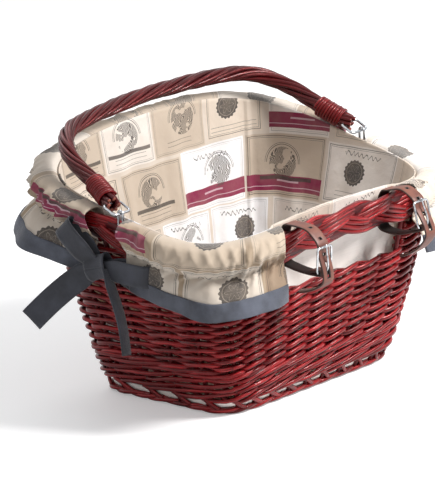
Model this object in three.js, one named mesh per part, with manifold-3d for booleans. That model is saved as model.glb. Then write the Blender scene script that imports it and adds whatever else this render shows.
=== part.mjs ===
// A bicycle basket of red-brown willow, with its cotton liner, folding handle and two leather
// straps. Millimetres, +Z up. X runs along the long sides, and the straps are on the -Y side,
// which faces the handlebar. The origin is the middle of the underside, on the resting plane.
import * as THREE from 'three';
import { mergeVertices } from 'three/addons/utils/BufferGeometryUtils.js';
import Module from 'manifold-3d';

const wasm = await Module();
wasm.setup();

// Outline of the woven wall, measured on its middle surface
const RIM_LENGTH = 396;
const RIM_DEPTH = 284;
const RIM_SHIFT = 3; // the rim's centre lies this far behind the base's centre
const RIM_HEIGHT = 235;
const RIM_RISE = 0.2; // the rim climbs this much per millimetre towards the back
const RIM_DIP = 18; // the rim's short sides lie this much below its long sides
const BASE_LENGTH = 262;
const BASE_DEPTH = 168;
const RIM_SQUARENESS = 4.1; // exponent of the rounded rectangle at the rim
const BASE_SQUARENESS = 8;
const FLARE_LONG = 1.1; // how the wall leans out along X, 1 is straight
const FLARE_DEEP = 0.6; // the same along Y, less than 1 is a belly low down

// Woven wall
const WALL = 13;
const FOOT_HEIGHT = 13;
const FOOT_THICK = 15;
const FOOT_BEVEL = 3;
const WALE_TOP = 46;
const WEAVE_RIBS = 7; // ribs that stand for two woven rows each
const WEAVE_LEVELS = 4; // spaces between the levels of its plain inner face
const WEAVE_RELIEF = 3; // from a stroke's crest, at a stake, to the grooves round it
const RIM_BAND = 38;
const RIM_THICK = 16;
const RIM_ROUND = 5;
const SLOT_HEIGHT = 33;
const SLOT_LENGTH = 208;
const SLOT_CUT = 60; // depth of the cut that makes the slot, through the wall
const BASE_THICK = 10;
const PANEL_FIT = 0.5; // round the base panel, inside the foot
const STAKE = 5;
const STAKES_LONG = 9; // stake spaces along a long side
const STAKES_SHORT = 5; // stake spaces along a short side
const GAP = 0.3; // between pieces that touch
const STAKE_CLEAR = 1.6; // from a leaning stake's end to the foot and rim
const FIT = 0.35; // round a stake in its bore

// Folding handle
const HANDLE_ROD = 18;
const PIVOT_X = 196;
const PIVOT_Y = -4;
const PIVOT_RISE = 9; // of the hinge line above the rim
const HANDLE_REST = 26; // degrees above level, folded to the back
const HANDLE_END = 12; // from the hinge line to the cut rod ends
const HANDLE_HEIGHT = 148;
const HANDLE_WAIST = 180; // half the width between the legs
const LINK_HOLE = 18; // from the hinge line to the link's upper bar
const LINK_X = PIVOT_X - 3.2; // middle of the link, at the rod it passes through
const LINK_WIRE = 3;
const LINK_HALF = 12.5;
const STAPLE_WIRE = 2.6;
const STAPLE_LEG = 12; // depth in the rim
const BINDING_ROD = 3.2;
const BINDING_TURNS = 6;
const BINDING_PITCH = 4.1;
const BINDING_START = 15; // along the handle from its cut end

// Liner
const CLOTH = 2;
const LINER_GAP = 9.2; // from the wall's middle surface to the bag
const LINER_TUCK = 16.8; // the same behind the straps
const LINER_TOP = 3; // of the bag above the rim
const LINER_FOLD = 2.2; // how far the bag bulges out between the stakes
const FLAP_DROP = 52;
const TRIM_TOP = 52.5;
const TRIM_DROP = 73;
const FOLD_DEPTH = 1.2;
const SLIT_FRONT = -20; // Y of the two edges of the slit at each handle end
const SLIT_BACK = 29;
const FLAP_LEFT_EDGE = -95; // X of the flap's end on the strap side
const FLAP_RIGHT_EDGE = 108;

// Bow
const BOW_Y = 18;
const BOW_DROP = 54;
const BOW_OUT = 27;
const RIBBON = 26;
const RIBBON_THICK = 2;

// Leather straps and buckles
const STRAP_LEFT_X = -76;
const STRAP_RIGHT_X = 88;
const STRAP_LIFT_RIGHT = 16; // degrees that the right loop stands higher
const STRAP_WIDTH = 17;
const LEATHER = 2.4;
const BUCKLE_WIRE = 2.5;
const BUCKLE_HALF = 11;
const BUCKLE_REACH = 28; // from heel bar to top bar
const PRONG_WIDTH = 3;
const PRONG_THICK = 1.8;
const PRONG_SLOT = 4.4;
const PUNCH = 3.6;

const LOOP_STEPS = 16; // points in each loop of a winding
const PI = Math.PI;
const RAD = PI / 180;

// Materials
const finish = (color, roughness, metalness = 0) => () =>
  new THREE.MeshStandardMaterial({ color, roughness, metalness });
const willow = finish(0x6e201c, 0.45);
const willowDark = finish(0x4d1614, 0.5);
const cotton = finish(0xdccfb8, 0.9);
const ribbonCloth = finish(0x45474f, 0.85);
const leather = finish(0x8f5b48, 0.6);
const chrome = finish(0xc9ccd0, 0.2, 1);
const steel = finish(0xb4b6ba, 0.3, 1);

const vec = (x, y, z) => new THREE.Vector3(x, y, z);
const flat = (x, y) => new THREE.Vector2(x, y);
const mix = (a, b, t) => a + (b - a) * t;
const ease = (a, b, x) => THREE.MathUtils.smoothstep(x, a, b);

// Distance from the centre to a rounded rectangle of half sizes a and b, in direction phi
function reach(a, b, squareness, phi) {
  const across = Math.abs(Math.cos(phi) / a) ** squareness;
  const along = Math.abs(Math.sin(phi) / b) ** squareness;
  return (across + along) ** (-1 / squareness);
}

// Height of the rim's top in direction phi
function rimTop(phi) {
  const r = reach(RIM_LENGTH / 2, RIM_DEPTH / 2, RIM_SQUARENESS, phi);
  const x = r * Math.cos(phi);
  return RIM_HEIGHT + RIM_RISE * r * Math.sin(phi) - RIM_DIP * (2 * x / RIM_LENGTH) ** 2;
}

// Point of the wall in direction phi at height z, on an outline grown by an offset
function wallPoint(phi, z, offset = 0) {
  const share = Math.min(z / rimTop(phi), 1);
  const halfX = mix(BASE_LENGTH, RIM_LENGTH, share ** FLARE_LONG) / 2 + offset;
  const halfY = mix(BASE_DEPTH, RIM_DEPTH, share ** FLARE_DEEP) / 2 + offset;
  const squareness = mix(BASE_SQUARENESS, RIM_SQUARENESS, share);
  const r = reach(halfX, halfY, squareness, phi);
  return vec(r * Math.cos(phi), mix(0, RIM_SHIFT, share) + r * Math.sin(phi), z);
}

// Direction phi in which the wall at height z crosses a given x or y, on the named side
function directionAtX(x, z, offset = 0) {
  return solve(-PI + 0.01, -0.01, (phi) => wallPoint(phi, z, offset).x - x);
}

function directionAtY(y, z, side) {
  const centre = side > 0 ? 0 : PI;
  return solve(centre - 0.6, centre + 0.6, (phi) => side * (wallPoint(phi, z).y - y));
}

function solve(low, high, miss) {
  for (let step = 0; step < 40; step += 1) {
    const middle = (low + high) / 2;
    if (miss(middle) < 0) low = middle;
    else high = middle;
  }
  return (low + high) / 2;
}

// Closed mesh whose faces point out
function closedGeometry(points, faces) {
  let volume = 0;
  for (const [a, b, c] of faces) {
    volume += points[a].dot(points[b].clone().cross(points[c]));
  }
  const turned = volume < 0 ? faces.map(([a, b, c]) => [a, c, b]) : faces;
  const geometry = new THREE.BufferGeometry().setFromPoints(points);
  geometry.setIndex(turned.flat());
  geometry.computeVertexNormals();
  return geometry;
}

// Skin over a row of rings, closed on itself or with flat or strip-shaped ends
function loft(rings, ends) {
  const count = rings[0].length;
  const faces = [];
  const spans = ends === 'looped' ? rings.length : rings.length - 1;
  for (let i = 0; i < spans; i += 1) {
    const next = (i + 1) % rings.length;
    for (let j = 0; j < count; j += 1) {
      const k = (j + 1) % count;
      faces.push([i * count + j, i * count + k, next * count + k]);
      faces.push([i * count + j, next * count + k, next * count + j]);
    }
  }
  const last = (rings.length - 1) * count;
  if (ends === 'fan') {
    for (let j = 1; j < count - 1; j += 1) {
      faces.push([0, j + 1, j]);
      faces.push([last, last + j, last + j + 1]);
    }
  }
  if (ends === 'strip') {
    for (let j = 0; j < count / 2 - 1; j += 1) {
      const a = count - 1 - j;
      faces.push([0 + j, a, a - 1], [j, a - 1, j + 1]);
      faces.push([last + j, last + a - 1, last + a], [last + j, last + j + 1, last + a - 1]);
    }
  }
  return closedGeometry(rings.flat(), faces);
}

// Sheet of cloth between a front and a back grid of points
function sheet(front, back) {
  return loft(front.map((column, i) => [...column, ...[...back[i]].reverse()]), 'strip');
}

// Circle of points round a place, square to a direction
function circle(centre, side, up, radius, sides) {
  return Array.from({ length: sides }, (_, k) => {
    const angle = (2 * PI * (k + 0.5)) / sides;
    return centre.clone().addScaledVector(side, radius * Math.cos(angle))
      .addScaledVector(up, radius * Math.sin(angle));
  });
}

// Round wire bent into a closed flat ring; normal is square to the ring's plane
function wireRing(path, normal, radius, sides = 6) {
  const rings = path.map((point, i) => {
    const before = path[(i + path.length - 1) % path.length];
    const after = path[(i + 1) % path.length];
    const side = after.clone().sub(before).normalize().cross(normal);
    return circle(point, side, normal, radius, sides);
  });
  return loft(rings, 'looped');
}

// Corner points of a rectangle with round corners, centred on the origin
function roundedRectangle(halfWidth, halfHeight, radius, steps = 3) {
  const points = [];
  const corners = [[1, 1, 0], [-1, 1, 1], [-1, -1, 2], [1, -1, 3]];
  for (const [sx, sy, quarter] of corners) {
    for (let k = 0; k <= steps; k += 1) {
      const angle = (quarter + k / steps) * PI / 2;
      points.push(flat(sx * (halfWidth - radius) + radius * Math.cos(angle),
        sy * (halfHeight - radius) + radius * Math.sin(angle)));
    }
  }
  return points;
}

// Rod of round section along a curve
function rod(curve, radius, steps, sides) {
  const outline = new THREE.Shape(circle(vec(0, 0, 0), vec(1, 0, 0), vec(0, 1, 0), radius, sides)
    .map((p) => flat(p.x, p.y)));
  return new THREE.ExtrudeGeometry(outline, { steps, extrudePath: curve, bevelEnabled: false });
}

function solid(geometry) {
  const bare = geometry.clone();
  bare.deleteAttribute('normal');
  bare.deleteAttribute('uv');
  const merged = mergeVertices(bare, 1e-4);
  return new wasm.Manifold(new wasm.Mesh({
    numProp: 3,
    vertProperties: new Float32Array(merged.attributes.position.array),
    triVerts: new Uint32Array(merged.index.array),
  }));
}

function fromSolid(body) {
  const mesh = body.getMesh();
  const geometry = new THREE.BufferGeometry();
  geometry.setAttribute('position', new THREE.BufferAttribute(new Float32Array(mesh.vertProperties), 3));
  geometry.setIndex(new THREE.BufferAttribute(new Uint32Array(mesh.triVerts), 1));
  geometry.computeVertexNormals();
  return geometry;
}

function cut(geometry, cutters) {
  return fromSolid(cutters.reduce((body, cutter) => body.subtract(solid(cutter)), solid(geometry)));
}

function join(geometries) {
  return fromSolid(geometries.map(solid).reduce((all, one) => all.add(one)));
}

function add(parent, name, geometry, material) {
  const mesh = new THREE.Mesh(geometry, material());
  mesh.name = name;
  parent.add(mesh);
}

// Ring of the wall: profile(phi, k) gives its section as [height, offset] pairs
function wallRing(profile) {
  const rings = weaveDirections().map((phi, k) =>
    profile(phi, k).map(([z, offset]) => wallPoint(phi, z, offset)));
  return loft(rings, 'looped');
}

// Section of a plain band between two heights, with levels in between
function bandSection(low, high, thick, levels) {
  const section = [];
  for (let k = 0; k <= levels; k += 1) section.push([mix(low, high, k / levels), thick / 2]);
  for (let k = levels; k >= 0; k -= 1) section.push([mix(low, high, k / levels), -thick / 2]);
  return section;
}

// Section of a band with bevelled edges
function roundSection(low, high, thick, edge) {
  const half = thick / 2;
  return [
    [low, half - edge], [low + edge, half], [high - edge, half], [high, half - edge],
    [high, edge - half], [high - edge, -half], [low + edge, -half], [low, edge - half],
  ];
}

const slotTop = rimTop(-PI / 2) - RIM_BAND;
const slotBottom = slotTop - SLOT_HEIGHT;

// Directions of the stakes, evenly spaced along each side between the corners
function stakeDirections() {
  const height = rimTop(0) / 2;
  const share = height / rimTop(0);
  const halfX = mix(BASE_LENGTH, RIM_LENGTH, share ** FLARE_LONG) / 2;
  const halfY = mix(BASE_DEPTH, RIM_DEPTH, share ** FLARE_DEEP) / 2;
  const corner = Math.atan2(halfY, halfX);
  const corners = [-PI + corner, -corner, corner, PI - corner, PI + corner];
  const directions = [];
  for (let side = 0; side < 4; side += 1) {
    const spaces = side % 2 ? STAKES_SHORT : STAKES_LONG;
    const from = wallPoint(corners[side], height);
    const to = wallPoint(corners[side + 1], height);
    for (let k = 0; k < spaces; k += 1) {
      const place = from.clone().lerp(to, k / spaces);
      const phi = Math.atan2(place.y - RIM_SHIFT / 2, place.x);
      directions.push(phi < directions.at(-1) ? phi + 2 * PI : phi);
    }
  }
  return directions;
}

// Directions of the stakes and, after each, of the middle of the space that follows it
function weaveDirections() {
  const stakes = stakeDirections();
  return stakes.flatMap((phi, k) => [phi, (phi + (stakes[k + 1] ?? stakes[0] + 2 * PI)) / 2]);
}

// 0 at a stake, rising to 1 in the middle between two stakes
function betweenStakes(phi) {
  const stakes = stakeDirections();
  const turned = phi < stakes[0] ? phi + 2 * PI : phi;
  const next = stakes.findIndex((stake) => stake > turned);
  const from = stakes.at(next - 1 < 0 ? -1 : next - 1);
  const to = next < 0 ? stakes[0] + 2 * PI : stakes[next];
  return 1 - Math.abs((2 * (turned - from)) / (to - from) - 1);
}

// Section of the woven wall: ribs outside, with their crests at the stakes, and plain inside
function weaveSection(phi, atStake) {
  const height = (share) => mix(WALE_TOP + GAP, rimTop(phi) - RIM_BAND - GAP, share);
  const section = [];
  for (let k = 0; k <= 2 * WEAVE_RIBS; k += 1) {
    const relief = k % 2 && atStake ? WEAVE_RELIEF : -WEAVE_RELIEF;
    section.push([height(k / (2 * WEAVE_RIBS)), (WALL + relief) / 2]);
  }
  for (let k = WEAVE_LEVELS; k >= 0; k -= 1) section.push([height(k / WEAVE_LEVELS), -WALL / 2]);
  return section;
}

// Rod of one stake up the middle of the wall; a bore for it is wider and longer
function stakeRod(phi, radius, longer) {
  const low = FOOT_HEIGHT + STAKE_CLEAR;
  const points = [0, 0.33, 0.67, 1].map((t) => wallPoint(phi, mix(low, stakeHigh(phi), t)));
  const rings = points.map((point, i) => {
    const along = points[Math.min(i + 1, 3)].clone().sub(points[Math.max(i - 1, 0)]).normalize();
    const end = { 0: -longer, 3: longer }[i] ?? 0;
    const side = vec(-Math.sin(phi), Math.cos(phi), 0);
    const up = along.clone().cross(side).normalize();
    return circle(point.clone().addScaledVector(along, end), side, up, radius, 6);
  });
  return loft(rings, 'fan');
}

function stakeHigh(phi) {
  const inSlot = phi < 0 && Math.abs(wallPoint(phi, slotBottom).x) < SLOT_LENGTH / 2;
  return inSlot ? slotBottom - STAKE_CLEAR : rimTop(phi) - RIM_BAND - STAKE_CLEAR;
}

// Woven body of the basket
function buildWillow(group) {
  const directions = stakeDirections();
  const bores = directions.map((phi) => stakeRod(phi, STAKE / 2 + FIT, 4));
  const panelOutline = (z) => weaveDirections().map((phi) =>
    wallPoint(phi, z, -FOOT_THICK / 2 - PANEL_FIT));
  add(group, 'base_panel', loft([BASE_THICK, FOOT_BEVEL, 0].map(panelOutline), 'fan'), willowDark);
  add(group, 'foot_border', wallRing(() =>
    roundSection(0, FOOT_HEIGHT, FOOT_THICK, FOOT_BEVEL)), willow);
  const wale = wallRing(() => bandSection(FOOT_HEIGHT + GAP, WALE_TOP, WALL, 1));
  add(group, 'lower_wale', cut(wale, bores), willow);
  const weave = wallRing((phi, k) => weaveSection(phi, k % 2 === 0));
  const slot = new THREE.BoxGeometry(SLOT_LENGTH, SLOT_CUT, SLOT_HEIGHT + RIM_BAND);
  slot.translate(0, wallPoint(-PI / 2, slotBottom).y, slotBottom + (SLOT_HEIGHT + RIM_BAND) / 2);
  add(group, 'side_weave', cut(weave, [slot, ...bores]), willow);
  const border = wallRing((phi) =>
    roundSection(rimTop(phi) - RIM_BAND, rimTop(phi), RIM_THICK, RIM_ROUND));
  const legHoles = [-1, 1].map((side) => rod(stapleCurve(side), STAPLE_WIRE / 2 + FIT, 14, 6));
  add(group, 'rim_border', cut(border, legHoles), willow);
  directions.forEach((phi, k) => {
    add(group, `stake_${String(k + 1).padStart(2, '0')}`, stakeRod(phi, STAKE / 2, 0), willowDark);
  });
}

const pivotPhi = { [-1]: directionAtY(PIVOT_Y, rimTop(PI), -1), 1: directionAtY(PIVOT_Y, rimTop(0), 1) };
const PIVOT_Z = rimTop(pivotPhi[1]) + PIVOT_RISE;

// Staple that holds the link: two legs in the rim and a round arch over the hinge line
function stapleCurve(side) {
  const bend = LINK_WIRE / 2 + 0.45 + STAPLE_WIRE / 2;
  const low = PIVOT_Z - PIVOT_RISE - STAPLE_LEG;
  const points = [];
  for (let k = 0; k <= 4; k += 1) points.push(vec(side * PIVOT_X, PIVOT_Y - bend, mix(low, PIVOT_Z, k / 4)));
  for (let k = 1; k < 6; k += 1) {
    const angle = PI - (PI * k) / 6;
    points.push(vec(side * PIVOT_X, PIVOT_Y + bend * Math.cos(angle), PIVOT_Z + bend * Math.sin(angle)));
  }
  for (let k = 0; k <= 4; k += 1) points.push(vec(side * PIVOT_X, PIVOT_Y + bend, mix(PIVOT_Z, low, k / 4)));
  return new THREE.CatmullRomCurve3(points, false, 'centripetal');
}

// Middle line of the handle in its own plane: x, and height above the hinge line
function handleCurve() {
  const half = [
    [PIVOT_X - 1, HANDLE_END], [PIVOT_X - 6, 26], [PIVOT_X - 11, 44], [HANDLE_WAIST + 1, 68],
    [HANDLE_WAIST - 4, 93], [HANDLE_WAIST - 17, 116], [HANDLE_WAIST - 39, HANDLE_HEIGHT - 15],
    [HANDLE_WAIST - 78, HANDLE_HEIGHT - 6], [HANDLE_WAIST - 130, HANDLE_HEIGHT - 1.5],
  ];
  const left = half.map(([x, h]) => vec(-x, h, 0));
  const right = half.map(([x, h]) => vec(x, h, 0)).reverse();
  return new THREE.CatmullRomCurve3([...left, vec(0, HANDLE_HEIGHT, 0), ...right], false, 'centripetal');
}

// One unbroken winding round the end of the handle
function bindingPath(curve, fromEnd) {
  const length = curve.getLength();
  const radius = HANDLE_ROD / 2 + GAP + BINDING_ROD / 2;
  const steps = BINDING_TURNS * LOOP_STEPS;
  return Array.from({ length: steps + 1 }, (_, k) => {
    const along = BINDING_START + (BINDING_TURNS * BINDING_PITCH * k) / steps;
    const share = fromEnd ? 1 - along / length : along / length;
    const centre = curve.getPointAt(share);
    const tangent = curve.getTangentAt(share);
    const side = tangent.clone().cross(vec(0, 0, 1));
    const angle = (2 * PI * k) / LOOP_STEPS;
    return centre.addScaledVector(side, radius * Math.cos(angle))
      .addScaledVector(vec(0, 0, 1), radius * Math.sin(angle));
  });
}

function windingTube(path) {
  const rings = path.map((point, i) => {
    const before = path[Math.max(i - 1, 0)];
    const after = path[Math.min(i + 1, path.length - 1)];
    const tangent = after.clone().sub(before).normalize();
    const side = tangent.clone().cross(vec(0, 0, 1)).normalize();
    const up = side.clone().cross(tangent);
    return circle(point, side, up, BINDING_ROD / 2, 5);
  });
  return loft(rings, 'fan');
}

// Least gap of a winding to its own next loops
function windingGap(path) {
  let least = Infinity;
  for (let i = 0; i < path.length; i += 1) {
    for (let j = i + LOOP_STEPS / 2; j < path.length; j += 1) {
      least = Math.min(least, path[i].distanceTo(path[j]));
    }
  }
  return least - BINDING_ROD;
}

function buildHandle(group) {
  const frame = new THREE.Group();
  frame.position.set(0, PIVOT_Y, PIVOT_Z);
  frame.rotation.x = HANDLE_REST * RAD;
  group.add(frame);
  const curve = handleCurve();
  const holes = [-1, 1].map((side) => {
    const hole = new THREE.CylinderGeometry(LINK_WIRE / 2 + FIT, LINK_WIRE / 2 + FIT, 2 * HANDLE_ROD, 10);
    hole.rotateZ(PI / 2);
    return hole.translate(side * PIVOT_X, LINK_HOLE, 0);
  });
  add(frame, 'handle_hoop', cut(rod(curve, HANDLE_ROD / 2, 46, 8), holes), willow);
  for (const [place, side] of [['near', -1], ['far', 1]]) {
    const path = bindingPath(curve, side > 0);
    add(frame, `handle_binding_${place}`, windingTube(path), willowDark);
    console.log(`handle_binding_${place}: least gap to itself ${windingGap(path).toFixed(2)} mm`);
    const link = roundedRectangle(LINK_HALF, LINK_HOLE / 2, 4)
      .map((p) => vec(side * LINK_X + p.x, LINK_HOLE / 2 + p.y, 0));
    add(frame, `handle_link_${place}`, wireRing(link, vec(0, 0, 1), LINK_WIRE / 2), steel);
    add(group, `rim_staple_${place}`, rod(stapleCurve(side), STAPLE_WIRE / 2, 14, 6), steel);
  }
}

// X of the places where the liner begins to keep clear of the straps, and where it does fully
const TUCK_LEFT = [FLAP_LEFT_EDGE - 1, STRAP_LEFT_X - STRAP_WIDTH / 2 - 3];
const TUCK_RIGHT = [STRAP_RIGHT_X + STRAP_WIDTH / 2 + 3, FLAP_RIGHT_EDGE + 1];

// 1 where the liner keeps clear of the straps, 0 elsewhere
function strapZone(phi) {
  const place = wallPoint(phi, rimTop(phi), -LINER_TUCK);
  return place.y > 0 ? 0 : ease(...TUCK_LEFT, place.x) * (1 - ease(...TUCK_RIGHT, place.x));
}

// Directions for the bag's rings, with one at each end of the two steps beside the straps
function bagDirections() {
  const steps = [...TUCK_LEFT, ...TUCK_RIGHT].map((x) => directionAtX(x, rimTop(-PI / 2), -LINER_TUCK));
  return [...weaveDirections(), ...steps].sort((a, b) => a - b);
}

// Place of the bag's outer face: folds bulge out between the stakes, from the wale to the rim
function linerOffset(phi, z) {
  const slotFloor = rimTop(phi) - RIM_BAND - SLOT_HEIGHT;
  const high = ease(slotFloor - 40, rimTop(phi) - RIM_BAND - 10, z);
  const folds = ease(WALE_TOP - 10, WALE_TOP + 30, z) * (1 - ease(slotFloor, slotFloor + SLOT_HEIGHT, z));
  const inset = mix(LINER_GAP, LINER_TUCK, strapZone(phi) * high);
  return LINER_FOLD * betweenStakes(phi) * folds - inset;
}

function buildBag(group) {
  const directions = bagDirections();
  const ring = (share, thick, low) => directions.map((phi) => {
    const z = mix(low, rimTop(phi) + LINER_TOP, share);
    const corner = 3 * (1 - ease(0, 0.06, share));
    return wallPoint(phi, z, linerOffset(phi, z) - thick - corner);
  });
  const shares = [0, 0.05, 0.25, 0.45, 0.62, 0.8, 1];
  const outside = shares.map((share) => ring(share, 0, BASE_THICK + 0.5));
  const inside = [...shares].reverse().map((share) => ring(share, CLOTH, BASE_THICK + 0.5 + CLOTH));
  add(group, 'liner_bag', loft([...outside, ...inside], 'fan'), cotton);
}

// 1 at the corners of the rim and 0 in the middle of its sides
function cornerShare(phi) {
  const place = wallPoint(phi, rimTop(phi));
  const x = (2 * place.x) / RIM_LENGTH;
  const y = (2 * (place.y - RIM_SHIFT)) / RIM_DEPTH;
  return Math.min((x * y) ** 2 / 0.5, 1);
}

// Outward lean of the flap below its drawn-in line
function flapOffset(phi, drop) {
  const corner = cornerShare(phi);
  const upper = Math.min(drop, FLAP_DROP) - 29;
  const lower = Math.max(drop - FLAP_DROP, 0);
  return 10.8 + upper * (0.3 + 0.35 * corner) + lower * (0.15 + 0.2 * corner);
}

// Turned-over flap or its trim between two directions: lines are [offset, height, lean] triples
function drape(from, to, columns, folds, lines) {
  const front = [];
  const back = [];
  for (let i = 0; i < columns; i += 1) {
    const share = i / (columns - 1);
    const phi = mix(from, to, share);
    const wave = Math.sin(2 * PI * folds * share);
    const section = lines(phi);
    const place = ([offset, height, fold, lean], side) =>
      wallPoint(phi, rimTop(phi) + height + side * (1 - lean) * CLOTH / 2,
        offset + wave * fold + side * lean * CLOTH / 2);
    front.push(section.map((line) => place(line, 1)));
    back.push(section.map((line) => place(line, -1)));
  }
  return sheet(front, back);
}

// Section of the flap over the rim: offset, height, share of the fold depth, lean of the cloth
const flapLines = (phi) => [
  [-LINER_GAP + 0.5, 2, 0, 0], [-3, 2.2, 0, 0], [4.5, 2.2, 0, 0.15], [10.5, -1.5, 0.5, 0.7],
  [13.2, -9, FOLD_DEPTH, 1], [13.2, -18, FOLD_DEPTH, 1], [10.8, -29, FOLD_DEPTH, 1],
  [flapOffset(phi, 41), -41, FOLD_DEPTH * 1.5, 1],
  [flapOffset(phi, FLAP_DROP), -FLAP_DROP, FOLD_DEPTH * 2, 1],
];

const trimLines = (phi) => [
  [flapOffset(phi, TRIM_TOP), -TRIM_TOP, FOLD_DEPTH * 2, 1],
  [flapOffset(phi, TRIM_DROP), -TRIM_DROP, FOLD_DEPTH * 2, 1],
];

const slitAt = (y, side) => directionAtY(y, rimTop(side > 0 ? 0 : PI), side);

function buildFlaps(group) {
  const rimFront = rimTop(-PI / 2);
  const pieces = [
    ['left', slitAt(SLIT_FRONT, -1), 2 * PI + directionAtX(FLAP_LEFT_EDGE, rimFront), 20, 4],
    ['back', slitAt(SLIT_BACK, 1), slitAt(SLIT_BACK, -1), 40, 9],
    ['right', directionAtX(FLAP_RIGHT_EDGE, rimFront), slitAt(SLIT_FRONT, 1), 19, 4],
  ];
  for (const [name, from, to, columns, folds] of pieces) {
    add(group, `liner_flap_${name}`, drape(from, to, columns, folds, flapLines), cotton);
    add(group, `liner_trim_${name}`, drape(from, to, columns, folds, trimLines), ribbonCloth);
  }
}

// Strip of ribbon along points, wide in the given directions and thick in the third
function ribbonStrip(points, widths, thick) {
  const face = (side) => points.map((point, i) => {
    const before = points[Math.max(i - 1, 0)];
    const after = points[Math.min(i + 1, points.length - 1)];
    const normal = after.clone().sub(before).cross(widths[i]).normalize();
    return [-1, 1].map((edge) => point.clone().addScaledVector(widths[i], edge * 0.5)
      .addScaledVector(normal, side * thick / 2));
  });
  return sheet(face(1), face(-1));
}

// Loop of ribbon: a hollow teardrop along a direction, as wide as the ribbon
function ribbonLoop(centre, along, outward, length, swell) {
  const outline = (inset) => {
    const shape = [];
    for (let k = 0; k < 14; k += 1) {
      const angle = (2 * PI * k) / 14;
      const reachOut = (length / 2) * (1 - Math.cos(angle)) * (1 - inset / length) + inset * 0.5;
      const bulge = Math.sin(angle) * (swell / 2 - inset) * (0.55 + 0.45 * (1 - Math.cos(angle)) / 2);
      shape.push(flat(reachOut, bulge));
    }
    return shape;
  };
  const shape = new THREE.Shape(outline(0));
  shape.holes.push(new THREE.Path(outline(RIBBON_THICK).reverse()));
  const loop = new THREE.ExtrudeGeometry(shape, { depth: RIBBON, bevelEnabled: false, steps: 1 });
  loop.translate(0, 0, -RIBBON / 2);
  const third = along.clone().cross(outward);
  loop.applyMatrix4(new THREE.Matrix4().makeBasis(along, outward, third).setPosition(centre));
  return loop;
}

function bowGeometry(side) {
  const phi = slitAt(BOW_Y, side);
  const knotAt = wallPoint(phi, rimTop(phi) - BOW_DROP, BOW_OUT);
  const out = vec(side, 0, 0);
  const knot = new THREE.SphereGeometry(1, 10, 6).scale(11, 12, 13);
  knot.translate(knotAt.x, knotAt.y, knotAt.z);
  const from = slitAt(SLIT_BACK, side);
  const to = slitAt(SLIT_FRONT, side);
  const inset = (to - from) * 0.01;
  const band = drape(from + inset, to - inset, 6, 0, trimLines);
  const bowLoop = (towards, length) => {
    const along = towards.normalize();
    const outward = out.clone().addScaledVector(along, -out.dot(along)).normalize();
    return ribbonLoop(knotAt, along, outward, length, 17);
  };
  const backLoop = bowLoop(vec(0.3 * side, 0.68, 0.67), 62);
  const frontLoop = bowLoop(vec(0.12 * side, -0.99, -0.05), 70);
  const width = vec(0, 0.67, 0.74).multiplyScalar(RIBBON);
  const tail = (reachOut, reachY, drop, edge) => {
    const points = [0, 0.25, 0.5, 0.75, 1].map((t) => knotAt.clone()
      .add(vec(side * reachOut * t * t, reachY * t, -drop * (0.55 * t + 0.45 * t * t))));
    return ribbonStrip(points, points.map(() => edge), RIBBON_THICK);
  };
  const backTail = tail(30, 60, 74, width);
  const frontTail = tail(9, -24, 92, vec(0.5 * side, 0.85, 0).normalize().multiplyScalar(RIBBON * 0.8));
  return join([knot, band, backLoop, frontLoop, backTail, frontTail]);
}

// Point turned about the strap's place on the rim, which lifts its outer side
function lifted([q, z], degrees) {
  const angle = degrees * RAD;
  return [q * Math.cos(angle) - z * Math.sin(angle), q * Math.sin(angle) + z * Math.cos(angle)];
}

// The buckle's own frame: heel bar, direction to the top bar and outward direction
function buckleFrame(lift) {
  const heel = flat(...lifted([42, -25], lift));
  const top = flat(...lifted([44, 3], lift));
  const up = top.clone().sub(heel).normalize();
  return { heel, up, out: flat(up.y, -up.x) };
}

// Place in the buckle's frame: d outwards and s from the heel bar towards the top bar
function inBuckle({ heel, up, out }, d, s) {
  return heel.clone().addScaledVector(out, d).addScaledVector(up, s);
}

// Middle line of a strap: end folded round the heel bar, back through the slot, up behind the
// rim, forward over it and down through the buckle to the loose end. q is outwards, z up,
// both from the middle of the rim border.
function strapPath(lift) {
  const frame = buckleFrame(lift);
  const layer = BUCKLE_WIRE / 2 + GAP + LEATHER / 2;
  const turned = (q, z, share) => flat(...lifted([q, z], lift * share));
  const points = [turned(29, -24.4, 1), turned(35.5, -23.6, 1)];
  for (let k = 0; k <= 8; k += 1) {
    const angle = (100 - 25 * k) * RAD;
    points.push(inBuckle(frame, layer * Math.cos(angle), layer * Math.sin(angle)));
  }
  const behind = -RIM_THICK / 2 - 2.3 - LEATHER / 2;
  points.push(turned(35.5, -27.8, 1), turned(28, -27.9, 1), turned(14, -27, 0.7));
  points.push(turned(1, -25, 0.2), flat(-9.5, -22), flat(behind - 1.4, -14), flat(behind, 0));
  points.push(flat(behind + 2.6, 14), flat(-4.5, 20.6), turned(3, 21.4, 0.3), turned(13, 21.6, 0.7));
  points.push(turned(27, 19, 1), turned(36, 12, 1));
  points.push(inBuckle(frame, -layer - 0.1, BUCKLE_REACH + 2), inBuckle(frame, -layer + 1.3, 20));
  points.push(inBuckle(frame, 2.6, 10), inBuckle(frame, 5.6, 0), inBuckle(frame, 5.4, -9));
  points.push(turned(36, -42.5, 0.8), turned(22, -48, 0.6), turned(8, -51.5, 0.4));
  return new THREE.CatmullRomCurve3(points.map((p) => vec(p.x, p.y, 0)), false, 'centripetal');
}

// Turns a shape drawn in q and z, centred on its depth, to stand across the rim
function acrossRim(geometry) {
  return geometry.applyMatrix4(new THREE.Matrix4()
    .makeBasis(vec(0, -1, 0), vec(0, 0, 1), vec(-1, 0, 0)));
}

function extrudeAcross(shape, width) {
  const geometry = new THREE.ExtrudeGeometry(shape, { depth: width, bevelEnabled: false, steps: 1 });
  return geometry.translate(0, 0, -width / 2);
}

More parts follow.
